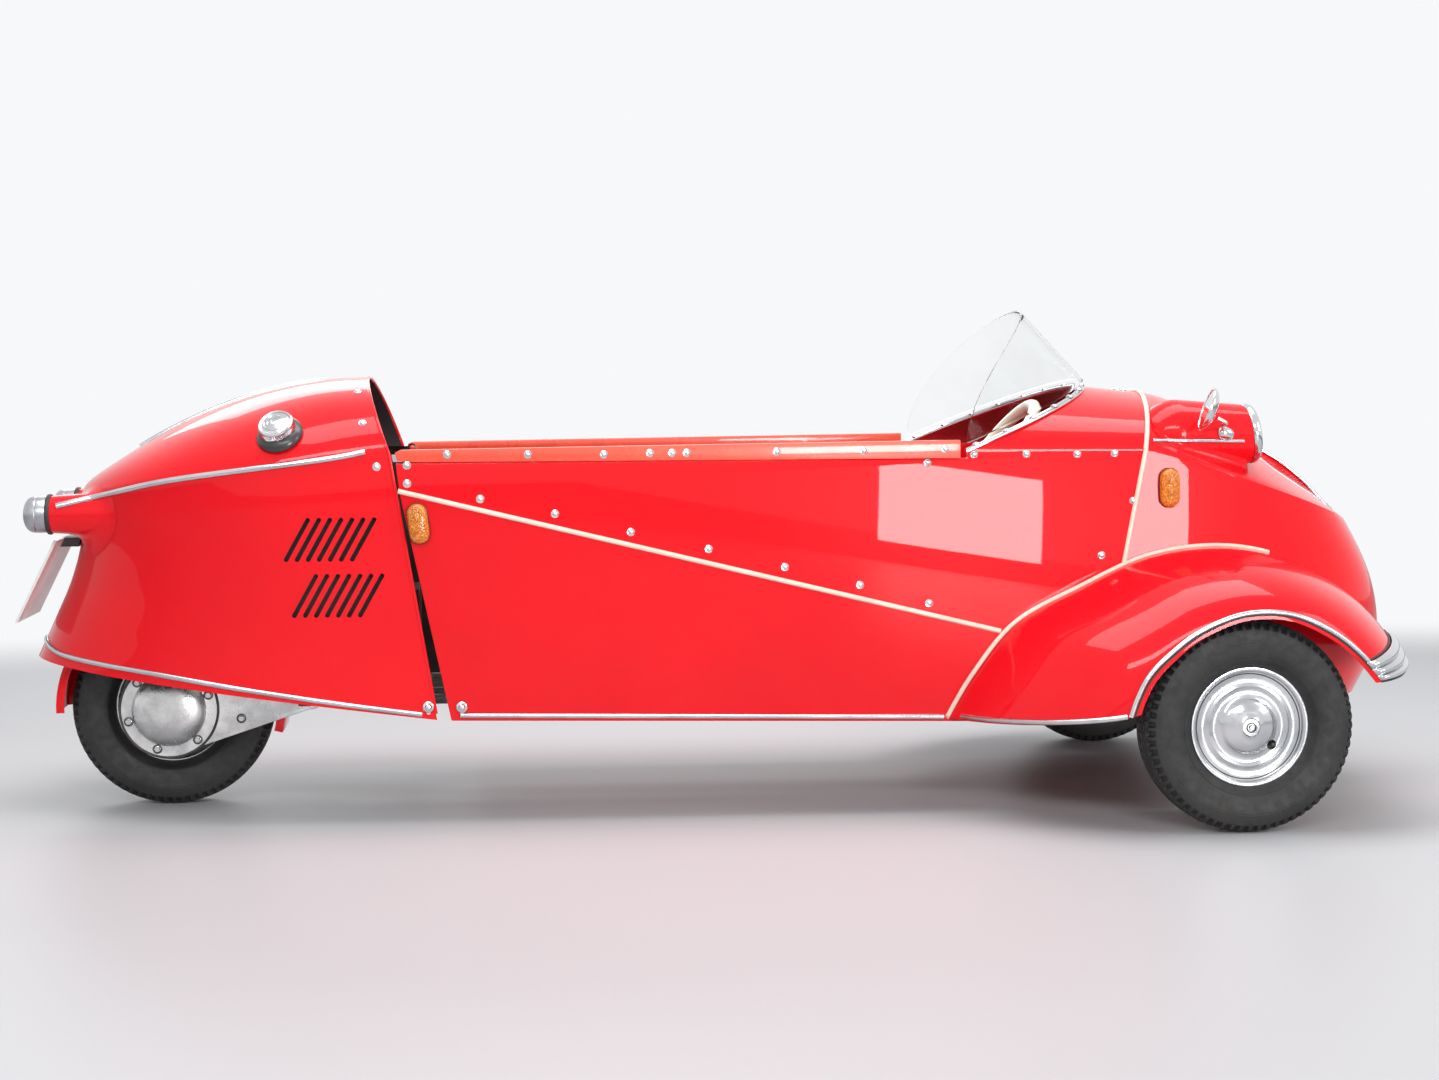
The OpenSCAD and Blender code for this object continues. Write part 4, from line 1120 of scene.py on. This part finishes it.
def sideLamp(name, spot, lean, out):
    shape = turned(name, [(0, 0), (20.6, 0), (20.6, 3.4), (19.6, 4)], 48)
    lens = turned(name, [(19.2, 3), (19.4, 6), (19.2, 9), (18.6, 12), (17.6, 14.4), (16.2, 16.4),
                         (14.4, 18), (12.4, 19.4), (10, 20.4), (7.6, 21), (5, 21.5), (2.5, 21.9),
                         (0, 22)], 96)
    made = []
    for part in (shape, lens):
        for vertex in part.data.vertices:
            stretch = 0.0185 * max(-1, min(1, vertex.co.y / 0.006))
            rise = vertex.co.z
            if part is lens and rise > 0.0035:  # pressed checks across the lens
                across = vertex.co.y + stretch
                rise -= 0.0009 * (1 + sin(across * 1500) * cos(vertex.co.x * 900))
            vertex.co = Vector((vertex.co.x, vertex.co.y + stretch, rise))
        part.data.transform(Matrix.Translation(spot) @ Matrix.Rotation(radians(90), 4, "X") @
                            Matrix.Rotation(lean, 4, "Z"))
        if out > 0:
            part.data.transform(Matrix.Scale(-1, 4, (0, 1, 0)))
            part.data.flip_normals()
        made.append(part)
    return made


lampRows = (("noseSideLamp", noseForm(0.028, 0.44), 0.6, 0.0),
            ("wallSideLamp", (500, -sideY(500, 610), 575), 0.3, radians(7)))
first = True
for name, at, clear, lean in lampRows:
    for side, title in sides:
        spot = place((at[0], at[1] - clear, at[2]))
        base, lens = sideLamp(name + title, spot, lean, side)
        finishPiece(named(base, name + "Base" + title), rubber)
        finishPiece(named(lens, name + "Lens" + title), amberLens,
                    stands=["side_lamps"] if first else (), angle=60)
        first = False

mirror = {"at": (frontAxle - 17, -345, 783), "axis": Vector((-0.9306, 0.1308, 0.3420)),
          "foot": (frontAxle + 35, -299, 735)}
heart = place(mirror["at"]) - mirror["axis"] * 0.022
back = turned("mirrorShell", [
    (0, 0), (8, 0.4), (18, 2), (28, 5), (35.5, 9), (40, 13), (42.4, 17), (42.9, 19.6), (42, 21.6),
    (40, 22), (38.6, 21.4), (38.2, 19.6), (0, 19.6)], 72, heart, mirror["axis"])
glass = turned("mirrorGlass", [(0, 20.6), (37.4, 20.3), (37.8, 19.4), (0, 19.2)], 64, heart,
               mirror["axis"])
foot = place(mirror["foot"])
bend = [heart + mirror["axis"] * 0.004 + Vector((0.006, 0.002, -0.012)),
        heart + Vector((0.022, 0.006, -0.022)), foot + Vector((-0.008, -0.014, 0.016)),
        foot + Vector((0, -0.002, 0))]
stalkPath = [Vector(through([tuple(p) for p in bend], i / 24)) for i in range(25)]
stalk = swept("mirrorStalk", stalkPath, [Vector((0.3, -1, 0.2)).normalized()] * 25,
              roundSection(4.4, 0, 14))
pad = turned("mirrorFoot", [(0, 9), (3, 8.8), (7, 7.6), (10.5, 5), (12.4, 2), (13, 0), (0, 0)], 40)
for vertex in pad.data.vertices:
    if vertex.co.x > 0:
        vertex.co.x *= 1.7
pad.data.transform(Matrix.Translation(foot) @ Matrix.Rotation(radians(90), 4, "X") @
                   Matrix.Rotation(radians(-12), 4, "Z"))
for part in (back, glass, stalk, pad):
    rightPart, leftPart = bothWays(part.name, part, chrome, angle=45)
    if part is back:
        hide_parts("mirror_right")
        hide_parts("mirror_left")

capSpot, capLook = onForm(tailForm, 0.88, 0.65)
capBase = turned("fillerBase", [(0, -2), (43, -2), (44.4, 0), (44.6, 3), (42.8, 7), (39, 11),
                                (36, 13.4), (34.6, 14), (0, 14)], 80, capSpot, capLook)
finishPiece(capBase, blackPaint, "tail_cover", stands=["filler_cap"], angle=50)


def knurl(part, centre, look, teeth, low, high, depth):  # flutes between two heights
    side = look.orthogonal().normalized()
    other = look.cross(side)
    for vertex in part.data.vertices:
        local = vertex.co - centre
        height = local.dot(look) * 1000
        flat = local - look * local.dot(look)
        if low < height < high and flat.length > 0.03:
            turn = Vector((flat.dot(side), flat.dot(other)))
            angle = Vector((1, 0)).angle_signed(turn)
            if int(round((angle + pi) / (2 * pi) * teeth * 2)) % 2:
                vertex.co -= flat.normalized() * depth
    return part


capTop = turned("fillerCap", [(0, 13), (32, 13), (33, 14.6), (33.6, 16), (33.8, 19), (33.8, 25),
                              (33.6, 29), (33.4, 31), (32.4, 33), (30.6, 33.8), (29, 33.4),
                              (27.6, 31.4), (26.4, 31.2), (25.8, 32.6), (22, 33.6), (21, 32.8),
                              (20, 33), (19, 34.4), (15, 35.6), (14.2, 34.8), (13.4, 35.2),
                              (12.4, 36.2), (8, 37), (7.4, 36), (6.6, 36.2), (6, 37.2),
                              (0, 37.6)], 128, capSpot, capLook)
knurl(capTop, capSpot, capLook, 64, 15, 30, 0.0014)
finishPiece(capTop, polished, "tail_cover", angle=30)

plateLine = {"station": -284, "foot": 376, "lean": 0.491, "front": 0.0016}
plate = painted(softened("numberPlate", "number_plate", 0.8), plateWhite, blackPaint)
for face in plate.data.polygons:  # white plate on a dark holder
    rise = face.center.z * 1000 - plateLine["foot"]
    line = place((plateLine["station"] + rise * plateLine["lean"], 0, 0)).x
    face.material_index = 1 if face.center.x > line + plateLine["front"] else 0
finishPiece(plate, None, "tail_cover", ["number_plate"])
plateOut = Vector((-0.897, 0, 0.441))
bolts = [(place((x, y, z)) + plateOut * 0.0005, plateOut) for x, z in ((-268, 416), (-231, 492))
         for y in (-78, 78)]
plateBolts = copiesAt("plateBolts", turned("bolt", [(0, 0), (6.5, 0), (6.5, 1), (5, 2.4), (2, 3.2),
                                                    (0, 3.3)], 18), bolts)
plateBolts.data.transform(Matrix.Translation(plateOut * 0.001))
finishPiece(plateBolts, chrome, "tail_cover")


def catchPiece(name, spot):  # turned knob with a slotted screw and a small wing
    knob = turned("knob", [(0, 0), (11.5, 0), (12, 1.4), (11.4, 4), (9.4, 6.4), (6.4, 7.6),
                           (5.6, 9.6), (4.6, 11.8), (2, 12.8), (0, 13)], 32, spot, (0, -1, 0))
    cutBy(knob, boxAt(Matrix.Translation(spot + Vector((0, -0.0128, 0))) @
                      Matrix.Rotation(radians(35), 4, "Y") @
                      Matrix.Diagonal((0.012, 0.0016, 0.0014, 1))))
    shape = [(-4, 4), (4, 4), (5, -8), (3, -15), (-3, -15), (-5, -8)]
    startAlone()
    bpy.ops.mesh.primitive_circle_add(vertices=len(shape), radius=0.01, fill_type="NGON",
                                      location=(0, 0, 0))
    wingPart = bpy.context.object
    for vertex, (x, z) in zip(wingPart.data.vertices, shape):
        vertex.co = spot + Vector((x * 0.001, -0.0006, z * 0.001))
    worked(wingPart, "SOLIDIFY", thickness=0.004, offset=0)
    worked(wingPart, "BEVEL", width=0.001, segments=2)
    merged(wingPart)
    return joined(name, [knob, wingPart])


panelSpot = place((577, -sideY(577, 225) - 0.3, 225))
rightPart, leftPart = bothWays("panelCatch", catchPiece("panelCatch", panelSpot), chrome)
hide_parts("latches")
coverSpot = onSide(tailTree, 514, 226)[0]
bothWays("coverCatch", catchPiece("coverCatch", coverSpot), chrome, "tail_cover")
print("lamps and fittings done")


# Ribbed guards on the wings' tips
guardBand = {"rear": 0.915, "front": 0.99, "low": 0.05, "high": 0.7, "ribs": 3, "depth": 8.0,
             "base": 4.6, "hem": 1.2, "rows": 54, "columns": 40}


def bandSpot(u, v):
    point, normal = onForm(wingForm, mix(guardBand["rear"], guardBand["front"], u),
                           mix(guardBand["low"], guardBand["high"], v))
    wave = abs(sin(pi * guardBand["ribs"] * u)) ** 0.6
    edge = min(1, min(v, 1 - v) / 0.06) ** 0.5
    hem = guardBand["hem"]
    rise = hem + (guardBand["base"] - hem + guardBand["depth"] * wave) * edge
    return point + normal * (rise * 0.001)


band = faceAway(layGrid("bumperette", bandSpot, guardBand["rows"], guardBand["columns"]),
                place((frontAxle, -400, 250)))
walled(band, 0.0012)
right, left = bothWays("bumperette", band, chrome, angle=45)
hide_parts("bumperette_right")
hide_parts("bumperette_left")
for name, uu in (("bumperetteSealRear", 0.911), ("bumperetteSealFront", 0.9935)):
    spots = [onForm(wingForm, uu, v) for v in evenly(guardBand["low"], guardBand["high"], 40)]
    bothWays(name, stripAlong("seal", spots, roundSection(2.2, 0.8, 8)), rubber)

# Cockpit
# the dashboard takes the same lighter orange copy of the red, painted highlight
finishPiece(softened("dashboard", "dashboard", 2.5, 3), litRailPaint, "root",
            ["dashboard"])
dialSpot = place((frontAxle - 225 - 14.2, 110, 640))
bezel = turned("dialBezel", [(0, 0.6), (33, 0.6), (33.6, 3), (36, 4), (38.4, 3), (38.8, 0),
                             (38.8, -6), (0, -6)], 64, dialSpot, (-1, 0, 0))
finishPiece(bezel, chrome, angle=40)
face = turned("dialFace", [(0, 1.6), (32.8, 1.6), (32.8, 0.2), (0, 0.2)], 48, dialSpot, (-1, 0, 0))
finishPiece(face, gauge)
marks = []
for k, angle in enumerate(evenly(-130, 130, 12)):
    long = 0.006 if k % 2 == 0 else 0.0035
    tick = boxAt(Matrix.Translation(dialSpot + Vector((-0.0018, 0, 0))) @
                 Matrix.Rotation(radians(angle), 4, "X") @ Matrix.Translation((0, 0, 0.027)) @
                 Matrix.Diagonal((0.0006, 0.0012, long, 1)))
    marks.append(worked(tick, "BEVEL", width=0.0001, segments=1))
needle = turned("needle", [(0, -8), (1.4, -8), (0.9, 20), (0.2, 25), (0, 25)], 8,
                dialSpot + Vector((-0.0026, 0, 0)), (0, sin(radians(-130)), cos(radians(-130))))
pin = turned("needlePin", [(0, 1.4), (4.4, 1.4), (4, 4), (0, 4.6)], 20, dialSpot, (-1, 0, 0))
finishPiece(joined("dialMarks", marks + [needle, pin]), rubber)
knobs = [(place((frontAxle - 225.2, y, z)), Vector((-1, 0, 0)))
         for y, z in ((-60, 640), (-110, 640), (-160, 640), (40, 612))]
knobMaster = turned("knob", [(0, 0), (7, 0), (7, 1.5), (3.4, 2.4), (3.2, 10), (7.4, 12),
                             (8.4, 15), (7.6, 18), (4, 19.6), (0, 20)], 28)
finishPiece(copiesAt("dashKnobs", knobMaster, knobs), ivory)

mat = {"from": 600, "to": 1950, "half": 98, "pitch": 22, "depth": 2.6}


def matForm(u, v):
    x, y = mix(mat["from"], mat["to"], u), mix(-mat["half"], mat["half"], v)
    ridge = 0 if v in (0, 1) else mat["depth"] * (0.5 + 0.5 * cos(2 * pi * y / mat["pitch"]))
    return place((x, y, 205.2 + ridge))


floorMat = faceAway(layGrid("floorMat", matForm, 60, 72), place((1200, 0, 0)))
finishPiece(walled(floorMat, 0.0008), rubber)


def pedalPiece(y):
    top, low = place((1806, y, 300)), place((1862, y, 214))
    lean = (top - low).normalized()
    stem = rod("pedal", 6, 0, (top - low).length * 1000, 20, low, lean)
    padPart = boxAt(placed(top + Vector((-0.006, 0, 0.006)), lean) @
                    Matrix.Diagonal((0.012, 0.058, 0.074, 1)))
    edited(padPart, (bpy.ops.mesh.subdivide, {"number_cuts": 5}))
    worked(padPart, "BEVEL", width=0.003, segments=3, angle_limit=radians(50),
           limit_method="ANGLE")
    return joined("pedal", [stem, padPart])


finishPiece(joined("pedals", [pedalPiece(-62), pedalPiece(0), pedalPiece(62)]), rubber)
# the bulkhead is near-black as painted shade in the gap behind the side panel
finishPiece(softened("rearBulkhead", "rear_bulkhead", 2.0), paintedShadeLining, "root",
            ["rear_bulkhead"])

# Seats, whose sizes here are in metres
cushion = {"channels": 6, "grid": 0.006, "before": 0.955, "border": 0.045, "channelHalf": 0.011,
           "channelDepth": 0.0065, "seamHalf": 0.009, "seamDepth": 0.0075, "weltIn": 0.030,
           "fill": 0.7, "frames": 20}
swellCaps = {"front_seat_cushion": 0.020, "front_seat_back": 0.018, "rear_seat_cushion": 0.018,
             "rear_seat_back": 0.018}
clothSettings = {"use_pressure": True, "uniform_pressure_force": 4.0, "quality": 4, "mass": 0.3,
                 "tension_stiffness": 12, "compression_stiffness": 12}


def keepInside(piece, low, high):
    for vertex in piece.data.vertices:
        vertex.co = Vector([min(max(c, a), b) for c, a, b in zip(vertex.co, low, high)])


def swell(piece, cap):  # a cloth pass under pressure, with each point's way limited
    before = [v.co.copy() for v in piece.data.vertices]
    startAlone(piece)
    cloth = piece.modifiers.new("Cloth", "CLOTH")
    for key, value in clothSettings.items():
        setattr(cloth.settings, key, value)
    cloth.settings.effector_weights.gravity = 0
    cloth.collision_settings.use_collision = False
    cloth.point_cache.frame_start, cloth.point_cache.frame_end = 1, cushion["frames"]
    for step in range(1, cushion["frames"] + 1):
        bpy.context.scene.frame_set(step)
    bpy.ops.object.modifier_apply(modifier="Cloth")
    bpy.context.scene.frame_set(1)
    for vertex, start in zip(piece.data.vertices, before):
        move = vertex.co - start
        if move.length > cap:
            vertex.co = start + move.normalized() * cap


def paddedPiece(node, cap):
    low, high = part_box(node)
    piece = copyOfNode(node, node.title().replace("_", ""))
    merged(piece, 0.00001, outside=False)
    centre = sum((v.co for v in piece.data.vertices), Vector()) / len(piece.data.vertices)
    # the pad's own axes: width is y, the crowned face looks along its normal
    largest = max(piece.data.polygons, key=lambda f: f.area)
    flat = [f for f in piece.data.polygons if f.area > 0.4 * largest.area]
    look = max(flat, key=lambda f: f.normal.z if "cushion" in node else f.normal.x).normal.copy()
    if "back" in node and look.x < 0:
        look = -look
    run = Vector((0, 1, 0)).cross(look).normalized()
    for vertex in piece.data.vertices:  # starts smaller, because it swells
        vertex.co = centre + (vertex.co - centre) * cushion["before"]
    worked(piece, "REMESH", mode="VOXEL", voxel_size=cushion["grid"])
    swell(piece, cap)
    halfWide = (high.y - low.y) / 2
    spans = [(v.co - centre).dot(run) for v in piece.data.vertices]
    reach = max(spans) - min(spans)
    inset = cushion["border"]
    for vertex in piece.data.vertices:  # sewn channels along the seat, inside a plain border
        local = vertex.co - centre
        across, along, rise = local.y, local.dot(run), local.dot(look)
        edge = min(halfWide - abs(across), reach / 2 - abs(along)) - inset
        if rise < 0.01:
            continue
        gap = (halfWide - inset) * 2 / cushion["channels"]
        phase = ((across + halfWide - inset) / gap) % 1.0
        groove = max(0, 1 - min(phase, 1 - phase) * gap / cushion["channelHalf"])
        depth = cushion["channelDepth"] * groove ** 1.5 if edge > 0 else 0
        depth += cushion["seamDepth"] * max(0, 1 - abs(edge) / cushion["seamHalf"]) ** 1.4
        vertex.co -= look * depth
    keepInside(piece, low, high)
    worked(piece, "SUBSURF", levels=1, render_levels=1)
    keepInside(piece, low, high)
    finishPiece(piece, seatCover, stands=[node], angle=180)
    return piece, centre, run, look, halfWide - cushion["weltIn"], reach / 2 - cushion["weltIn"]


def weltLoop(piece, centre, run, look, halfWide, halfLong, count=120):  # round the crowned face
    tree = surfaceOf(piece)
    loop = []
    for a in evenly(0, 2 * pi, count)[:-1]:
        c, s = cos(a), sin(a)
        k = (c ** 4 + s ** 4) ** (-1 / 4)
        spot = centre + Vector((0, halfWide * c * k, 0)) + run * (halfLong * s * k) + look * 0.2
        hit = tree.ray_cast(spot, -look)[0]
        loop.append(hit if hit is not None else tree.find_nearest(spot - look * 0.16)[0])
    for smoothing in range(5):
        loop = [(loop[i - 1] + loop[i] * 2 + loop[(i + 1) % count]) / 4 for i in range(count)]
    return loop + [loop[0].copy()]


for node, cap in swellCaps.items():
    padded = paddedPiece(node, cap)
    loop = weltLoop(*padded)
    welt = swept(padded[0].name + "Welt", loop, [padded[3]] * len(loop),
                 roundSection(3.0, 0.6, 8))
    finishPiece(welt, seatWelt)
print("cockpit done")


# Running gear and what stays of the plain model
def arcSwept(name, centre, radius, first, last, section):  # about a level line across the car
    ups = [Vector((cos(radians(a)), 0, sin(radians(a)))) for a in evenly(first, last, 96)]
    return swept(name, [centre + out * (radius * 0.001) for out in ups], ups, section)


guardShape = {"radius": 220, "front": -14, "rear": 182}
guard = arcSwept("rearMudguard", place((0, 0, car["tyreRadius"])), *guardShape.values(), [
    (-63, -13), (-63, 0.4), (-61.6, 2.8), (-58, 4), (58, 4), (61.6, 2.8), (63, 0.4), (63, -13),
    (61, -13), (61, -0.4), (58, 1.6), (-58, 1.6), (-61, -0.4), (-61, -13)])
finishPiece(guard, redPaint, stands=["rear_mudguard"])

caseSpot = place((0, -64, car["tyreRadius"]))
caseBody = softened("chainCase", "chain_case", 3.0, 3, angle=50)
dome = turned("caseDome", [(0, 55.4), (14, 55.1), (28, 53.8), (42, 51), (54, 47.1), (61, 43.2),
                           (66, 39.3), (69.4, 34.8), (71.4, 30), (72.4, 27.9), (74.5, 27.4),
                           (92.5, 27.2), (94, 25.8), (94, 20), (0, 20)], 96, caseSpot, (0, -1, 0))
boltCircle = 0.0815
ring = [(caseSpot + Vector((boltCircle * cos(radians(a)), -0.0271, boltCircle * sin(radians(a)))),
         flank) for a in (20, 77, 138, 196, 253, 312)]
ring.append((caseSpot + Vector((0.140, -0.0258, -0.020)), flank))
boltMaster = turned("bolt", [(0, 0), (6.6, 0), (6.6, 1.4), (6.2, 1.5), (6.2, 5.6), (5.2, 6.4),
                             (0, 6.4)], 6)
finishPiece(caseBody, castMetal, stands=["chain_case"], angle=40)
finishPiece(dome, castMetal, angle=40)
washerMaster = turned("washer", [(0, 0), (9.6, 0), (9.6, 0.7), (8.8, 1.1), (0, 1.1)])
finishPiece(copiesAt("caseWashers", washerMaster, ring), blackPaint, "root")
finishPiece(copiesAt("caseBolts", boltMaster, ring), polished, "root", angle=30)
gasket = arcSwept("caseGasket", caseSpot + flank * 0.0262, 95.2, 0, 360, roundSection(2.6, 0, 8))
finishPiece(gasket, rubber)

stays = {
    "floor_pan": shadedInnerPaint, "chassis_frame": blackPaint,
    "steering_column": blackPaint, "steering_bar": ivory, "seat_frame": blackPaint,
    # the engine block is black as painted shade seen through the slots
    "tail_hinges": chrome, "engine_block": blackPaint, "front_axle": blackPaint,
    "knuckle_right": darkMetal, "knuckle_left": darkMetal,
}
for node, finish in stays.items():
    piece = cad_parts[node]
    if not piece.material_slots:
        piece.data.materials.append(finish)
    for slotPlace in piece.material_slots:
        slotPlace.material = finish
print("running gear done")


# Floor, light and camera
studio = {"floor": (0.56, 0.565, 0.58, 1), "floorFade": (2.2, 3.3), "fillStrength": 0.3,
          "white": (0.93, 0.94, 0.95, 1), "fill": (0.93, 0.95, 1.0, 1)}


def mixedShaders(tree, share, first, second):
    both = tree.nodes.new("ShaderNodeMixShader")
    feed(tree, both.inputs[0], share)
    feed(tree, both.inputs[1], first.outputs[0])
    feed(tree, both.inputs[2], second.outputs[0])
    return both.outputs[0]


startAlone()
bpy.ops.mesh.primitive_plane_add(size=40, location=(0, 0, 0))
floorPlane = bpy.context.object
floorPlane.name = "studioFloor"
floorFinish = bpy.data.materials.new("studioFloor")
floorFinish.use_nodes = True
tree = floorFinish.node_tree
floorShader = tree.nodes["Principled BSDF"]
for label, value in (("Base Color", studio["floor"]), ("Roughness", 0.45),
                     ("Specular IOR Level", 0.35)):
    feed(tree, floorShader.inputs[label], value)
reach = tree.nodes.new("ShaderNodeVectorMath")  # the floor melts into the white further out
reach.operation = "LENGTH"
spread = tree.nodes.new("ShaderNodeVectorMath")
spread.operation = "MULTIPLY"
feed(tree, spread.inputs[0], ownSpots(tree))
feed(tree, spread.inputs[1], (0.5, 1, 1))
feed(tree, reach.inputs[0], spread.outputs[0])
away = ranged(tree, reach.outputs["Value"], *studio["floorFade"], 0.0, 1.0)
seen = tree.nodes.new("ShaderNodeLightPath")
glow = tree.nodes.new("ShaderNodeEmission")
feed(tree, glow.inputs["Color"], studio["white"])
direct = mathNode(tree, "MULTIPLY", away, seen.outputs["Is Camera Ray"])
feed(tree, tree.nodes["Material Output"].inputs["Surface"],
     mixedShaders(tree, direct, floorShader, glow))
painted(floorPlane, floorFinish)

world = bpy.data.worlds.new("studio")
bpy.context.scene.world = world
world.use_nodes = True
tree = world.node_tree
tree.nodes.clear()
seen = tree.nodes.new("ShaderNodeLightPath")
direct = mathNode(tree, "MAXIMUM", seen.outputs["Is Camera Ray"],
                  mathNode(tree, "MAXIMUM", seen.outputs["Is Glossy Ray"],
                           seen.outputs["Is Transmission Ray"]))
skies = []
for colour, strength in ((studio["fill"], studio["fillStrength"]), (studio["white"], 1.0)):
    skies.append(tree.nodes.new("ShaderNodeBackground"))
    feed(tree, skies[-1].inputs["Color"], colour)
    feed(tree, skies[-1].inputs["Strength"], strength)
feed(tree, tree.nodes.new("ShaderNodeOutputWorld").inputs[0], mixedShaders(tree, direct, *skies))

softBoxes = {  # place, what it faces, width, depth, watts
    "overhead": ((0.1, -0.3, 3.3), (0, 0, 0.4), 4.2, 1.6, 104),
    "cameraSide": ((-0.8, -4.6, 2.9), (0.1, 0, 0.45), 3.6, 0.7, 92),
    "frontCard": ((2.45, -6.0, 0.86), (0.9, 0, 0.5), 1.5, 1.15, 120),
    "noseSide": ((3.8, -2.2, 2.2), (0.8, 0, 0.5), 1.2, 1.6, 34),
    "farSide": ((-0.6, 3.8, 2.6), (0, 0, 0.5), 3.6, 1.4, 50),
}
for name, (spot, target, wide, deep, power) in softBoxes.items():
    startAlone()
    bpy.ops.object.light_add(type="AREA", location=spot)
    box = bpy.context.object
    box.name = name
    box.data.shape = "RECTANGLE"
    box.data.size, box.data.size_y = wide, deep
    box.data.energy = power
    box.rotation_euler = (Vector(target) - Vector(spot)).to_track_quat("-Z", "Y").to_euler()

view = {"place": (-0.4517, -4.599, 0.8345), "yaw": 0.099, "pitch": 0.069, "roll": -0.004,
        "lens": 56.553}
yaw, pitch, roll = view["yaw"], view["pitch"], view["roll"]
ahead = Vector((sin(yaw) * cos(pitch), cos(yaw) * cos(pitch), -sin(pitch)))
level = Vector((cos(yaw), -sin(yaw), 0))
above = level.cross(ahead)
right = level * cos(roll) + above * sin(roll)
top = above * cos(roll) - level * sin(roll)
startAlone()
bpy.ops.object.camera_add(location=view["place"])
camera = bpy.context.object
camera.data.sensor_width = 36
camera.data.lens = view["lens"]
camera.rotation_euler = Matrix((right, top, -ahead)).transposed().to_euler()
bpy.context.scene.camera = camera
bpy.context.scene.view_settings.view_transform = "Standard"

startAlone()
for helper in (tailSkin, noseSkin):
    bpy.data.objects.remove(helper, do_unlink=True)
